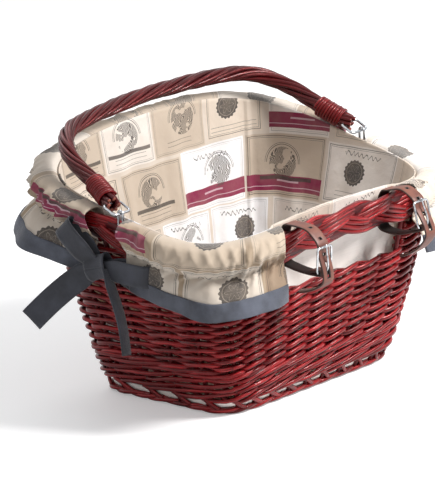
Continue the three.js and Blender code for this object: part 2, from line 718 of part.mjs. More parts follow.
// Closed outline of a strip of even thickness along a line of points
function stripOutline(points, thick) {
  const sides = [1, -1].map((side) => points.map((point, i) => {
    const before = points[Math.max(i - 1, 0)];
    const after = points[Math.min(i + 1, points.length - 1)];
    const along = flat(after.x - before.x, after.y - before.y).normalize();
    return flat(point.x - side * along.y * thick / 2, point.y + side * along.x * thick / 2);
  }));
  return new THREE.Shape([...sides[0], ...sides[1].reverse()]);
}

function strapGeometry(lift) {
  const curve = strapPath(lift);
  const line = curve.getPoints(2 * curve.points.length - 2);
  const leatherStrip = extrudeAcross(stripOutline(line, LEATHER), STRAP_WIDTH);
  const frame = buckleFrame(lift);
  const prongSlot = new THREE.BoxGeometry(13.2, 16.6, PRONG_SLOT);
  prongSlot.translate(1.9, 3.5, 0);
  prongSlot.applyMatrix4(new THREE.Matrix4().makeBasis(
    vec(frame.out.x, frame.out.y, 0), vec(frame.up.x, frame.up.y, 0), vec(0, 0, 1))
    .setPosition(frame.heel.x, frame.heel.y, 0));
  const punches = [0.585, 0.65, 0.715, 0.93].map((share) => {
    const place = curve.getPointAt(share);
    const tangent = curve.getTangentAt(share);
    const punch = new THREE.CylinderGeometry(PUNCH / 2, PUNCH / 2, 8, 8);
    return punch.rotateZ(Math.atan2(tangent.y, tangent.x)).translate(place.x, place.y, 0);
  });
  return acrossRim(cut(leatherStrip, [prongSlot, ...punches]));
}

function buckleGeometry(lift) {
  const frame = buckleFrame(lift);
  const path = roundedRectangle(BUCKLE_HALF, BUCKLE_REACH / 2, 3.5)
    .map((p) => vec(frame.heel.x, frame.heel.y, 0)
      .addScaledVector(vec(frame.up.x, frame.up.y, 0), BUCKLE_REACH / 2 + p.y)
      .add(vec(0, 0, p.x)));
  return acrossRim(wireRing(path, vec(frame.out.x, frame.out.y, 0), BUCKLE_WIRE / 2));
}

function prongGeometry(lift) {
  const ring = new THREE.Shape().absarc(0, 0, BUCKLE_WIRE / 2 + FIT + 1.1, 0, 2 * PI);
  ring.holes.push(new THREE.Path().absarc(0, 0, BUCKLE_WIRE / 2 + FIT, 0, 2 * PI, true));
  const arm = stripOutline([flat(2.6, 0.9), flat(4.6, 4.6), flat(5.3, 10.5),
    flat(BUCKLE_WIRE / 2 + GAP + PRONG_THICK / 2 + 0.15, BUCKLE_REACH),
    flat(BUCKLE_WIRE / 2 + GAP + PRONG_THICK / 2 - 0.2, BUCKLE_REACH + 3)], PRONG_THICK);
  const eye = new THREE.ExtrudeGeometry(ring,
    { depth: PRONG_WIDTH, bevelEnabled: false, steps: 1, curveSegments: 8 });
  eye.translate(0, 0, -PRONG_WIDTH / 2);
  const prong = join([eye, extrudeAcross(arm, PRONG_WIDTH)]);
  const frame = buckleFrame(lift);
  prong.applyMatrix4(new THREE.Matrix4().makeBasis(
    vec(frame.out.x, frame.out.y, 0), vec(frame.up.x, frame.up.y, 0), vec(0, 0, 1))
    .setPosition(frame.heel.x, frame.heel.y, 0));
  return acrossRim(prong);
}

function buildStraps(group) {
  const pieces = [['left', STRAP_LEFT_X, 0], ['right', STRAP_RIGHT_X, STRAP_LIFT_RIGHT]];
  for (const [name, x, lift] of pieces) {
    const phi = directionAtX(x, rimTop(-PI / 2));
    const place = wallPoint(phi, rimTop(phi) - RIM_BAND / 2);
    const seat = new THREE.Group();
    seat.position.copy(place);
    group.add(seat);
    add(seat, `strap_${name}`, strapGeometry(lift), leather);
    add(seat, `buckle_${name}`, buckleGeometry(lift), chrome);
    add(seat, `buckle_prong_${name}`, prongGeometry(lift), chrome);
    const heel = buckleFrame(lift).heel;
    const axis = [place.x, place.y - heel.x, place.z + heel.y].map((v) => v.toFixed(2));
    console.log(`buckle_prong_${name}: turns about X at ${axis.join(', ')}`);
  }
}

const group = new THREE.Group();
buildWillow(group);
buildHandle(group);
buildBag(group);
buildFlaps(group);
add(group, 'bow_near', bowGeometry(-1), ribbonCloth);
add(group, 'bow_far', bowGeometry(1), ribbonCloth);
buildStraps(group);
console.log(`handle hinge line: Y ${PIVOT_Y}, Z ${PIVOT_Z.toFixed(2)}`);
console.log(`slot: Z ${slotBottom.toFixed(2)} to ${slotTop.toFixed(2)}`);

export default group;
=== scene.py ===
"""Looks of the woven bicycle basket. Lengths in the formulas are millimetres; meshes are in metres."""
import math

import bmesh
import bpy
import numpy as np
from mathutils import Matrix, Vector


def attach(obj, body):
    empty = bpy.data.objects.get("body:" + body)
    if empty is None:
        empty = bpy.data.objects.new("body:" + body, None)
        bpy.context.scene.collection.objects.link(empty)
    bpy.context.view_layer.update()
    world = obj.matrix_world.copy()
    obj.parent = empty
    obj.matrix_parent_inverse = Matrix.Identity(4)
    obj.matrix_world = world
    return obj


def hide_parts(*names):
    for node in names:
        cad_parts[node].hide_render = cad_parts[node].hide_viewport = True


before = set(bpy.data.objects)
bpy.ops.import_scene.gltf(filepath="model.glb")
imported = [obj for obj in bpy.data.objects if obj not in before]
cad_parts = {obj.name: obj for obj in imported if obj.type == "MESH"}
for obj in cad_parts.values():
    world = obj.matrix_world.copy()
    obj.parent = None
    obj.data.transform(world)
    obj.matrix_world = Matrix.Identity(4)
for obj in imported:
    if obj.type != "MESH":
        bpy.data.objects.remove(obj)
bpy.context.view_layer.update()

MM = 0.001
PI = math.pi
TURN = 2 * PI
UP = np.array([0.0, 0.0, 1.0])
rng = np.random.default_rng(7)

# Sizes repeated from part.mjs
RIM_LENGTH, RIM_DEPTH, RIM_SHIFT = 396, 284, 3
RIM_HEIGHT, RIM_RISE, RIM_DIP = 235, 0.2, 18
BASE_LENGTH, BASE_DEPTH = 262, 168
RIM_SQUARENESS, BASE_SQUARENESS = 4.1, 8
FLARE_LONG, FLARE_DEEP = 1.1, 0.6
RIM_BAND, SLOT_HEIGHT, SLOT_LENGTH = 38, 33, 208
STAKES_LONG, STAKES_SHORT = 9, 5
STAKES = 2 * (STAKES_LONG + STAKES_SHORT)
HANDLE_REST = math.radians(26)
PIVOT = np.array([0.0, -4.0, 224.6])
PIVOT_X, HANDLE_END, HANDLE_HEIGHT, HANDLE_WAIST = 196, 12, 148, 180
LINK_X, LINK_HOLE, LINK_WIRE, LINK_HALF = 192.8, 18, 3, 12.5
STAPLE_WIRE, STAPLE_LEG, PIVOT_RISE = 2.6, 12, 9
LINER_GAP, LINER_TUCK, LINER_TOP = 9.2, 16.8, 3
FLAP_DROP, TRIM_DROP = 52, 71.5
SLIT_FRONT, SLIT_BACK = -20, 29
FLAP_LEFT_EDGE, FLAP_RIGHT_EDGE = -95, 108
BOW_Y, BOW_DROP, BOW_OUT = 18, 54, 27
STRAP_X = {"left": -76, "right": 88}
STRAP_LIFT = {"left": 0, "right": 16}
STRAP_WIDTH, LEATHER = 17, 2.4
BUCKLE_WIRE, BUCKLE_HALF, BUCKLE_REACH = 2.5, 11, 28

# Willow: radii of the rods, and how far they swing round the stakes
WEAVER, WEAVER_SWING, WEAVER_RISE = 2.6, 3.5, 2.8
ROW_PITCH = 9.4
TOP_ROW = 133.4  # the last row below the slot
WALE_ROD, WALE_LOW, WALE_PITCH = 2.4, 20.5, 12.6
WALE_FRONT, WALE_OUT, WALE_IN = 2.1, 4.6, 3.4
STAKE_ROD, POST_ROD, BASE_ROD = 2.7, 2.6, 2.4
FOOT_ROD, FOOT_LINE, FOOT_TURNS = 2.6, 4.1, 11
PLAIT_ROD, PLAIT_HEIGHT, PLAIT_DEPTH, PLAIT_WAVES, PLAIT_PITCH = 2.75, 9.6, 3.9, 6, 5.3
HANDLE_ROD, HANDLE_RODS, HANDLE_LAY, HANDLE_SPREAD = 2.5, 9, 190, 6.15
HANDLE_STEP = 1.5  # between two points of its line
BINDING_ROD, BINDING_RADIUS, BINDING_START, BINDING_LENGTH, BINDING_TURNS = 1.6, 9.9, 14.5, 29, 9.4

# Cloth: thicknesses, and where it departs from the solids
BAG_CLOTH, FLAP_CLOTH, HEM_CLOTH, TAPE, RIBBON = 1.6, 1.5, 0.8, 2.4, 1.2
BAG_LOW = 11.2  # middle of the bottom cloth, clear of the rods of the base
SLIT_COVER = 7  # the gathered end of a flap reaches this far past its solid, under the bow
CORNER_FLARE = 8  # the hem stands this much further out at the near back corner
CLOTH_END, TAPE_START, TAPE_END = 11.15, 11.0, 13.0  # numbers of flap sections, from the inside down
LABEL_ROW = 0.76  # height of a row of printed labels, in units of the UV map


# Numbers and vectors

def mix(a, b, t):
    return a + (b - a) * t


def ease(a, b, x):
    """Smooth step from 0 at a to 1 at b."""
    t = np.clip((x - a) / (b - a), 0, 1)
    return t * t * (3 - 2 * t)


def vectors(*parts):
    """One array with the parts along its last axis."""
    return np.stack(np.broadcast_arrays(*parts), -1)


def unit(v):
    return v / np.linalg.norm(v, axis=-1, keepdims=True)


def heading(path):
    """Direction of the path at each point."""
    return unit(np.gradient(path, axis=0))


def distances(path):
    """Distance along the path from its start to each point."""
    return np.concatenate([[0], np.cumsum(np.linalg.norm(np.diff(path, axis=0), axis=1))])


def wave(x, length, seed, parts=5, spread=0.45):
    """Smooth random line: sum of sines whose lengths lie round the given one, about -1 to 1."""
    draw = np.random.default_rng(seed)
    total = 0 * x
    for _ in range(parts):
        period = length * draw.uniform(1 - spread, 1 + spread)
        total = total + np.sin(TURN * x / period + draw.uniform(0, TURN))
    return total / math.sqrt(parts)


def chance(scale=1.0):
    return float(rng.uniform(0, scale))


def new_seed():
    return int(rng.integers(1e6))


def solve(low, high, miss):
    for _ in range(40):
        middle = (low + high) / 2
        low, high = (middle, high) if miss(middle) < 0 else (low, middle)
    return (low + high) / 2


# Shape of the wall

def reach(a, b, n, phi):
    """Rounded rectangle: (|cos/a|^n + |sin/b|^n)^(-1/n)."""
    return (np.abs(np.cos(phi) / a) ** n + np.abs(np.sin(phi) / b) ** n) ** (-1 / n)


def rim_top(phi):
    """Height of the rim: 235 + 0.2 y - 18 (2x/396)^2 on the rim's outline."""
    r = reach(RIM_LENGTH / 2, RIM_DEPTH / 2, RIM_SQUARENESS, phi)
    return RIM_HEIGHT + RIM_RISE * r * np.sin(phi) - RIM_DIP * (2 * r * np.cos(phi) / RIM_LENGTH) ** 2


def rim_low(phi):
    return rim_top(phi) - RIM_BAND


def wall(phi, z, offset=0.0):
    """Point of the wall: half sizes grow from base to rim with share^1.1 and share^0.6."""
    phi, z, offset = np.broadcast_arrays(*(np.asarray(v, float) for v in (phi, z, offset)))
    share = np.clip(z / rim_top(phi), 0, 1)
    half_x = mix(BASE_LENGTH, RIM_LENGTH, share ** FLARE_LONG) / 2 + offset
    half_y = mix(BASE_DEPTH, RIM_DEPTH, share ** FLARE_DEEP) / 2 + offset
    r = reach(half_x, half_y, mix(BASE_SQUARENESS, RIM_SQUARENESS, share), phi)
    return vectors(r * np.cos(phi), RIM_SHIFT * share + r * np.sin(phi), z)


def below_rim(phi, drop, offset=0.0):
    return wall(phi, rim_top(phi) - drop, offset)


def phi_at_x(x, z):
    """Direction on the strap side where the wall has this x."""
    return solve(-PI + 0.01, -0.01, lambda phi: wall(phi, z)[0] - x)


def phi_at_y(y, side):
    """Direction on one short end where the wall has this y at the rim's height."""
    centre = 0 if side > 0 else PI
    z = rim_top(centre)
    return solve(centre - 0.6, centre + 0.6, lambda phi: side * (wall(phi, z)[1] - y))


def outward(phi):
    """Level direction square to the rim's outline."""
    step = 1e-3
    along = wall(phi + step, 200.0) - wall(phi - step, 200.0)
    return unit(vectors(along[..., 1], -along[..., 0], 0.0))


def stake_directions():
    """Directions of the stakes, evenly spaced from corner to corner at half height."""
    height = rim_top(0.0) / 2
    corner = math.atan2(mix(BASE_DEPTH, RIM_DEPTH, 0.5 ** FLARE_DEEP),
                        mix(BASE_LENGTH, RIM_LENGTH, 0.5 ** FLARE_LONG))
    corners = [-PI + corner, -corner, corner, PI - corner, PI + corner]
    found = []
    for side in range(4):
        spaces = STAKES_SHORT if side % 2 else STAKES_LONG
        start, end = wall(corners[side], height), wall(corners[side + 1], height)
        for k in range(spaces):
            place = mix(start, end, k / spaces)
            found.append(math.atan2(place[1] - RIM_SHIFT / 2, place[0]))
    return np.unwrap(found)


stakes = stake_directions()
slot_top = float(rim_low(-PI / 2))
slot_bottom = slot_top - SLOT_HEIGHT


def stake_count(phi):
    """Number of stakes passed on the way round to phi, with fractions between two stakes."""
    turns = np.floor((phi - stakes[0]) / TURN)
    known = np.append(stakes, stakes[0] + TURN)
    return np.interp(phi - TURN * turns, known, np.arange(STAKES + 1)) + STAKES * turns


def rim_line(samples):
    """Directions evenly spaced along the rim, the distance along it and the whole length."""
    fine = np.linspace(-PI, PI, 4001)
    length = distances(below_rim(fine, RIM_BAND / 2))
    at = np.linspace(0, length[-1], samples + 1)[:-1]
    return np.interp(at, length, fine), at, length[-1]


# Mesh making

class Mesh:
    """Collects grids of points as one mesh, with a UV map and two attributes for the materials."""

    def __init__(self):
        self.points, self.quads, self.tris, self.uv, self.rods, self.tones = [], [], [], [], [], []
        self.count = 0

    def add(self, points, uv, rod, tone):
        self.points.append(points.reshape(-1, 3))
        self.uv.append(uv.reshape(-1, 2))
        self.rods.append(rod.reshape(-1, 3))
        self.tones.append(tone.ravel())
        self.count += len(self.points[-1])

    def grid(self, points, uv=None, rod=None, tone=0.5, wrap_u=False, wrap_v=False, caps=()):
        """Grid (n, m, 3) of points; wrap joins its last row or column to the first, caps closes end rows."""
        n, m = points.shape[:2]
        uv = np.zeros((n, m, 2)) if uv is None else uv
        rod = np.zeros((n, m, 3)) if rod is None else rod
        tone = np.broadcast_to(tone, (n, m))
        index = self.count + np.arange(n * m).reshape(n, m)
        rows = np.vstack([index, index[:1]]) if wrap_u else index
        both = np.hstack([rows, rows[:, :1]]) if wrap_v else rows
        quads = np.stack([both[:-1, :-1], both[:-1, 1:], both[1:, 1:], both[1:, :-1]], -1)
        self.quads.append(quads.reshape(-1, 4))
        self.add(points, uv, rod, tone)
        for ring in caps:
            around, after = index[ring], np.roll(index[ring], -1)
            self.tris.append(vectors(self.count, *((after, around) if ring == 0 else (around, after))))
            self.add(*(v[ring].mean(0) for v in (points, uv, rod)), tone[ring, :1])

    def tube(self, path, radius, facing, sides=8, closed=False, tone=0.5, flatten=1.0, start=0.0):
        """Round rod along path (n, 3): centre + r cos(a) side + r sin(a) up, with up nearest to facing."""
        path = np.asarray(path, float)
        along = unit(np.roll(path, -1, 0) - np.roll(path, 1, 0)) if closed else heading(path)
        side = unit(np.cross(along, facing))
        up = np.cross(side, along)
        radius = np.broadcast_to(radius, len(path))[:, None]
        angle = TURN * np.arange(sides) / sides
        a, b = radius * np.cos(angle), radius * np.sin(angle)
        ring = path[:, None] + a[..., None] * side[:, None] + b[..., None] * flatten * up[:, None]
        length = start + distances(path)[:, None]
        self.grid(ring, vectors(length / 100, angle / 10), vectors(length, a, b), tone,
                  wrap_u=closed, wrap_v=True, caps=() if closed else (0, -1))

    def rod(self, path, radius, facing, closed=True, flatten=1.0):
        """Willow rod with a tone of its own and its own stretch of the material."""
        self.tube(path, radius, facing, 8, closed, chance(), flatten, chance(900))

    def build(self, name, material, smooth=True, thickness=0.0):
        mesh = bpy.data.meshes.new(name)
        points = np.concatenate(self.points) * MM
        quads = np.concatenate(self.quads)
        tris = np.concatenate([np.zeros((0, 3), int), *self.tris])
        corners = np.concatenate([quads.ravel(), tris.ravel()])
        starts = np.concatenate([4 * np.arange(len(quads)), 4 * len(quads) + 3 * np.arange(len(tris))])
        mesh.vertices.add(len(points))
        mesh.vertices.foreach_set("co", points.ravel())
        mesh.loops.add(len(corners))
        mesh.loops.foreach_set("vertex_index", corners.astype(np.int32))
        mesh.polygons.add(len(starts))
        mesh.polygons.foreach_set("loop_start", starts.astype(np.int32))
        mesh.update(calc_edges=True)
        mesh.validate()
        layer = mesh.uv_layers.new(name="UVMap")
        layer.data.foreach_set("uv", np.concatenate(self.uv)[corners].ravel())
        rod = mesh.attributes.new("rod", "FLOAT_VECTOR", "POINT")
        rod.data.foreach_set("vector", np.concatenate(self.rods).ravel())
        tone = mesh.attributes.new("tone", "FLOAT", "POINT")
        tone.data.foreach_set("value", np.concatenate(self.tones))
        mesh.polygons.foreach_set("use_smooth", np.full(len(starts), smooth))
        mesh.materials.append(material)
        thing = bpy.data.objects.new(name, mesh)
        bpy.context.scene.collection.objects.link(thing)
        if thickness:
            shell = thing.modifiers.new("thickness", "SOLIDIFY")
            shell.thickness = thickness * MM
            shell.offset = 0
        return thing


def spline(points, steps):
    """Centripetal Catmull-Rom curve through the points, steps samples to a span."""
    p = np.asarray(points, float)
    p = np.vstack([2 * p[0] - p[1], p, 2 * p[-1] - p[-2]])
    t = (np.arange(steps) / steps)[:, None]
    runs = []
    for k in range(1, len(p) - 2):
        a, b, c, d = p[k - 1:k + 3]
        d0, d1, d2 = (max(np.linalg.norm(v) ** 0.5, 1e-4) for v in (b - a, c - b, d - c))
        m1 = ((b - a) / d0 - (c - a) / (d0 + d1) + (c - b) / d1) * d1
        m2 = ((c - b) / d1 - (d - b) / (d1 + d2) + (d - c) / d2) * d1
        runs.append(b + m1 * t + (-3 * b + 3 * c - 2 * m1 - m2) * t ** 2 + (2 * b - 2 * c + m1 + m2) * t ** 3)
    return np.vstack([*runs, p[-2:-1]])


def even(path, spacing):
    """The same path with points an even distance apart."""
    length = distances(path)
    at = np.linspace(0, length[-1], max(int(length[-1] / spacing), 2) + 1)
    return vectors(*(np.interp(at, length, column) for column in path.T))


def wire_rectangle(half_width, height, radius, steps, spacing):
    """Closed outline with round corners: x from -half_width to half_width, y from 0 to height."""
    corners = []
    for quarter, (sx, sy) in enumerate(((1, 1), (-1, 1), (-1, -1), (1, -1))):
        a = (quarter + np.arange(steps) / (steps - 1)) * PI / 2
        x = sx * (half_width - radius) + radius * np.cos(a)
        y = height / 2 + sy * (height / 2 - radius) + radius * np.sin(a)
        corners.append(vectors(x, y, 0.0))
    return even(np.vstack([*corners, corners[0][:1]]), spacing)[:-1]


# Materials

def linear(code):
    """Hex colour as the linear values a shader takes."""
    rgb = [int(code[k:k + 2], 16) / 255 for k in (0, 2, 4)]
    return (*(c / 12.92 if c <= 0.04045 else ((c + 0.055) / 1.055) ** 2.4 for c in rgb), 1.0)


def operator(name, swapped=False):
    """Operator of a node's output that adds the math node of this name."""
    def apply(self, *values):
        return self.nodes.math(name, *((*values, self) if swapped else (self, *values)))
    return apply


class Value:
    """Output of a node. Arithmetic with it adds math nodes; a comparison gives 1 or 0."""
    __add__, __sub__, __mul__ = operator("ADD"), operator("SUBTRACT"), operator("MULTIPLY")
    __truediv__, __lt__, __gt__ = operator("DIVIDE"), operator("LESS_THAN"), operator("GREATER_THAN")
    __rsub__, __abs__ = operator("SUBTRACT", swapped=True), operator("ABSOLUTE")

    def __init__(self, nodes, socket):
        self.nodes, self.socket = nodes, socket

    def other(self, key):
        return Value(self.nodes, self.socket.node.outputs[key])


class Nodes:
    """Short calls that add nodes to a tree and give back their outputs. A string is a hex colour."""

    def __init__(self, tree):
        self.tree = tree

    def put(self, node, inputs):
        for key, value in inputs.items():
            if isinstance(value, Value):
                self.tree.links.new(value.socket, node.inputs[key])
            else:
                node.inputs[key].default_value = linear(value) if isinstance(value, str) else value

    def add(self, kind, inputs=(), out=0, **settings):
        node = self.tree.nodes.new(kind)
        for key, value in settings.items():
            setattr(node, key, value)
        self.put(node, dict(inputs))
        return Value(self, node.outputs[out])

    def math(self, operation, *values):
        return self.add("ShaderNodeMath", enumerate(values), operation=operation)

    def mix(self, factor, a, b):
        return self.add("ShaderNodeMix", {0: factor, 6: a, 7: b}, 2, data_type="RGBA")

    def noise(self, vector, scale, detail=3.0, rough=0.5, out=0):
        inputs = {"Vector": vector, "Scale": scale, "Detail": detail, "Roughness": rough}
        return self.add("ShaderNodeTexNoise", inputs, out)

    def span(self, value, low, high, to_low=0.0, to_high=1.0):
        return self.add("ShaderNodeMapRange", {0: value, 1: low, 2: high, 3: to_low, 4: to_high})

    def scaled(self, vector, x, y, z):
        return self.add("ShaderNodeVectorMath", {0: vector, 1: (x, y, z)}, operation="MULTIPLY")

    def bump(self, height, strength, distance, **inputs):
        inputs.update(Height=height, Strength=strength, Distance=distance)
        return self.add("ShaderNodeBump", inputs)

    def attribute(self, name, out):
        return self.add("ShaderNodeAttribute", out=out, attribute_name=name)

    def place(self):
        """Place on the object, in metres."""
        return self.add("ShaderNodeTexCoord", out=3)


def new_material(name):
    material = bpy.data.materials.new(name)
    material.use_nodes = True
    tree = material.node_tree
    return material, Nodes(tree), tree.nodes["Principled BSDF"]


def willow(name, deep, base, lit, rough):
    """Stained and lacquered rod: painted highlights in streaks along it, towards the lit colour; blotches of
    stain; fine grain in the bump.
    """
    material, n, shader = new_material(name)
    rod = n.attribute("rod", 1)
    tone = n.attribute("tone", 2)
    highlight_streaks = n.noise(n.scaled(rod, 0.012, 0.55, 0.55), 1.6, 4.0, 0.6)
    blotch = n.noise(n.scaled(rod, 0.05, 0.12, 0.12), 1.0, 3.0, 0.6)
    colour = n.mix(n.span(tone, 0.0, 1.0, 0.0, 0.75), deep, base)
    # Painted highlight: streaks along the rod mix towards the lit colour.
    colour = n.mix(n.span(highlight_streaks, 0.45, 0.7, 0.0, 0.8), colour, lit)
    colour = n.mix(n.span(blotch, 0.55, 0.75, 0.0, 0.55), colour, deep)
    grain = n.noise(n.scaled(rod, 0.03, 1.6, 1.6), 1.8, 3.0, 0.6)
    n.put(shader, {"Base Color": colour, "Roughness": n.span(blotch, 0.3, 0.7, rough - 0.06, rough + 0.14),
                   "Specular IOR Level": 0.45, "Specular Tint": "ff8a88", "Coat Weight": 0.2,
                   "Coat Roughness": 0.1, "Normal": n.bump(grain, 0.35, 0.0006)})
    return material


def cut_wood():
    """Stained cut end of a rod, with rings."""
    material, n, shader = new_material("cut willow")
    rings = n.noise(n.scaled(n.attribute("rod", 1), 0.0, 1.3, 1.3), 1.5, 3.0, 0.6)
    n.put(shader, {"Base Color": n.mix(n.span(rings, 0.35, 0.65), "6b2a25", "a0604c"), "Roughness": 0.7})
    return material


def leather_material():
    """Tan leather: pebbled grain and darker burnished edges; the flesh side is near black as painted shade on
    the strap's inner face.
    """
    material, n, shader = new_material("leather")
    place = n.place()
    cells = n.add("ShaderNodeTexVoronoi", {"Vector": place, "Scale": 900.0})
    broad = n.noise(place, 60.0, 3.0, 0.6)
    colour = n.mix(n.span(broad, 0.35, 0.65), "5e3328", "784838")
    # Tone 0.35 darkens the burnished edges; tone 0 paints the flesh side near black as painted shade.
    colour = n.mix(n.span(n.attribute("tone", 2), 0.25, 0.9), "1c1614", colour)
    n.put(shader, {"Base Color": colour, "Roughness": n.span(broad, 0.3, 0.7, 0.42, 0.6),
                   "Normal": n.bump(cells, 0.25, 0.0003)})
    return material


def metal_material(name, colour, rough):
    material, n, shader = new_material(name)
    wear = n.noise(n.place(), 350.0, 3.0, 0.6)
    n.put(shader, {"Base Color": n.mix(n.span(wear, 0.4, 0.7), colour, "8f9296"), "Metallic": 1.0,
                   "Roughness": n.span(wear, 0.3, 0.7, rough, rough + 0.12)})
    return material


def weave_group():
    """Value 0 to 1: threads of a plain weave, crossed sines over the UV map."""
    group = bpy.data.node_groups.new("threads", "ShaderNodeTree")
    group.interface.new_socket("Threads to a unit", in_out="INPUT", socket_type="NodeSocketFloat")
    group.interface.new_socket("Height", in_out="OUTPUT", socket_type="NodeSocketFloat")
    n = Nodes(group)
    density = n.add("NodeGroupInput")
    u = n.add("ShaderNodeSeparateXYZ", {0: n.add("ShaderNodeUVMap")})
    crossed = n.math("SINE", u * density) * n.math("SINE", u.other(1) * density)
    n.put(group.nodes.new("NodeGroupOutput"), {0: crossed * 0.5 + 0.5})
    return group


threads = weave_group()


def cloth_bump(n, strength, crumple):
    """Normal of woven cloth with soft creases."""
    weave = n.add("ShaderNodeGroup", {0: 900.0}, node_tree=threads)
    creases = n.noise(n.place(), 26.0, 4.0, 0.55)
    return n.bump(creases, crumple, 0.006, Normal=n.bump(weave, strength, 0.0002))


def let_light_through(n, shader, colour, share):
    """Mixes the cloth's own shading with light that falls on its other side."""
    through = n.add("ShaderNodeBsdfTranslucent", {"Color": colour})
    both_sides = n.add("ShaderNodeMixShader", {0: share, 1: Value(n, shader.outputs[0]), 2: through})
    n.put(n.tree.nodes["Material Output"], {"Surface": both_sides})


def ribbon_material(name, low, high):
    """Woven cotton tape, softly mottled."""
    material, n, shader = new_material(name)
    soft = n.noise(n.place(), 30.0, 4.0, 0.6)
    n.put(shader, {"Base Color": n.mix(n.span(soft, 0.35, 0.68), low, high), "Roughness": 0.78,
                   "Sheen Weight": 0.25, "Sheen Roughness": 0.4, "Normal": cloth_bump(n, 0.5, 0.25)})
    return material


def plain_cotton():
    material, n, shader = new_material("plain cotton")
    age = n.noise(n.place(), 18.0, 3.0, 0.6)
    n.put(shader, {"Base Color": n.mix(n.span(age, 0.35, 0.65), "fbf8f4", "efe8de"), "Roughness": 0.88,
                   "Normal": cloth_bump(n, 0.35, 0.4)})
    return material


def print_material(name, fill_codes, gap, seal_share):
    """Cream cotton printed with generic labels: each cell of a shifted grid gets its own fill,
    frame lines, rules, a scalloped seal or a hatched block, chosen by white noise of the cell."""
    material, n, shader = new_material(name)
    uv = n.add("ShaderNodeUVMap")
    wobble = n.noise(uv, 2.2, 1.0, 0.5, out=1)
    shifted = n.add("ShaderNodeVectorMath", {0: uv, 1: n.scaled(wobble, 0.03, 0.03, 0.0)}, operation="ADD")

    def fract(value):
        return n.math("FRACT", value)

    def between(value, low, high):
        return (value > low) * (value < high)

    def line(value, at, width):
        return abs(value - at) < width

    def larger(a, b):
        return n.math("MAXIMUM", a, b)

    def pick(value, low, high):
        """Number from low to high for a random value."""
        return n.span(value, 0.0, 1.0, low, high)

    def paint(share, code):
        nonlocal colour
        colour = n.mix(share, colour, code)

    # The cell, the place in it in millimetres from its middle, and the cell's four random values
    u = n.add("ShaderNodeSeparateXYZ", {0: shifted})
    level = u.other(1) / LABEL_ROW
    row = n.math("FLOOR", level)
    label_width = fract(row * 0.387 + 0.11) * 0.34 + 0.78
    across = (u + fract(row * 0.618) * 0.9) / label_width
    width = label_width * 100.0
    x = (fract(across) - 0.5) * width
    y = (fract(level) - 0.5) * (100 * LABEL_ROW)
    cell = n.add("ShaderNodeCombineXYZ", {0: n.math("FLOOR", across), 1: row, 2: 0.37})
    first = n.add("ShaderNodeTexWhiteNoise", {"Vector": cell})
    second = n.add("ShaderNodeSeparateColor", {0: first.other(1)})
    third, fourth = second.other(1), second.other(2)
    # Fill and frame
    fills = n.add("ShaderNodeValToRGB", {0: first})
    ramp = fills.socket.node.color_ramp
    ramp.interpolation = "CONSTANT"
    for k, (place, code) in enumerate(zip((0.0, 0.2, 0.4, 0.58, 0.74, 0.88), fill_codes)):
        step = ramp.elements[k] if k < 2 else ramp.elements.new(place)
        step.position = place
        step.color = linear(code)
    ink = "2f2a2a"
    half_width = width * 0.5 + pick(second, -5.0, -0.4)
    half_height = pick(third, 34.5, 38.0)
    edge = larger(abs(x) - half_width, abs(y) - half_height)
    inside = edge < 0.0
    colour = n.mix(inside, gap, fills)
    frame_lines = larger(line(edge, -2.6, 0.45), line(edge, -4.6, 0.22))
    paint(frame_lines * pick(fourth, 0.3, 0.85), ink)
    # Burgundy band across some labels
    band = between(y, -31.0, -12.0) * (third > 0.74) * inside
    paint(band, "8e1f4a")
    band_rule = band * larger(line(y, -26.0, 0.5), line(y, -19.0, 1.1) * between(x, -18.0, 14.0))
    paint(band_rule * 0.7, "e7cdd6")
    # Rules and a dark bar low on the others
    rules = (n.math("PINGPONG", y, 2.6) < 0.32) * between(y, -30.0, -19.0) * (third < 0.7)
    paint(rules * (abs(x) < pick(fourth, 18.0, 36.0)) * 0.65, ink)
    bar = between(y, -18.0, -13.5) * (abs(x) < 36.0) * between(fourth, 0.35, 0.75)
    paint(bar * 0.85, ink)
    # Flourish: a looping line across the upper part
    loops = n.noise(n.scaled(shifted, 1.0, 0.2, 1.0), 9.0, 2.0, 0.6)
    swing = n.math("SINE", x * 0.95 + loops * 14.0) * (loops * 7.0 - 1.2)
    flourish = line(y - x * 0.08 - swing, 24.5, 0.75) * (abs(x) < pick(second, 22.0, 34.0))
    paint(flourish * (first < 0.72) * 0.85, ink)
    # Scalloped seal with a ring and a rosette
    dx, dy = x - pick(fourth, -12.0, 12.0), y - 3.0
    radius = n.math("SQRT", dx * dx + dy * dy)
    turn = n.math("ARCTAN2", dy, dx)
    has_seal = second < seal_share
    seal = (radius < n.math("COSINE", turn * 18.0) * 0.7 + 15.0) * has_seal
    worn = n.noise(shifted, 60.0, 4.0, 0.7)
    paint(seal * n.span(worn, 0.25, 0.5, 0.75, 0.96), "3d3837")
    petals = n.math("COSINE", turn * 6.0) * 3.0 + 6.4
    light = larger(line(radius, 11.8, 0.4), line(radius, petals, 0.4))
    paint(light * seal * 0.55, "b3a595")
    # Hatched block under a double arch in the remaining labels
    arch = larger(line(radius, 22.0, 0.4), line(radius, 24.0, 0.25)) * (dy > 0.0)
    blob = n.noise(shifted, 5.5, 2.0, 0.5)
    hatch = (n.math("PINGPONG", x + blob * 26.0, 1.0) < 0.62) * (blob > 0.43) * (radius < 19.0)
    paint(larger(arch, hatch) * (1.0 - has_seal) * inside * 0.85, ink)
    # Broad shading of age, and paler unprinted cloth where the tone attribute is over a half: behind the
    # slot, and over the flaps' crest as painted light
    age = n.noise(shifted, 3.0, 3.0, 0.6)
    paint(n.span(age, 0.35, 0.7, 0.0, 0.2), "c4b19b")
    paint(n.span(n.attribute("tone", 2), 0.5, 1.0, 0.0, 0.85), "faf7f3")
    n.put(shader, {"Base Color": colour, "Roughness": 0.86, "Sheen Weight": 0.15,
                   "Normal": cloth_bump(n, 0.35, 0.55)})
    let_light_through(n, shader, colour, 0.22)
    return material


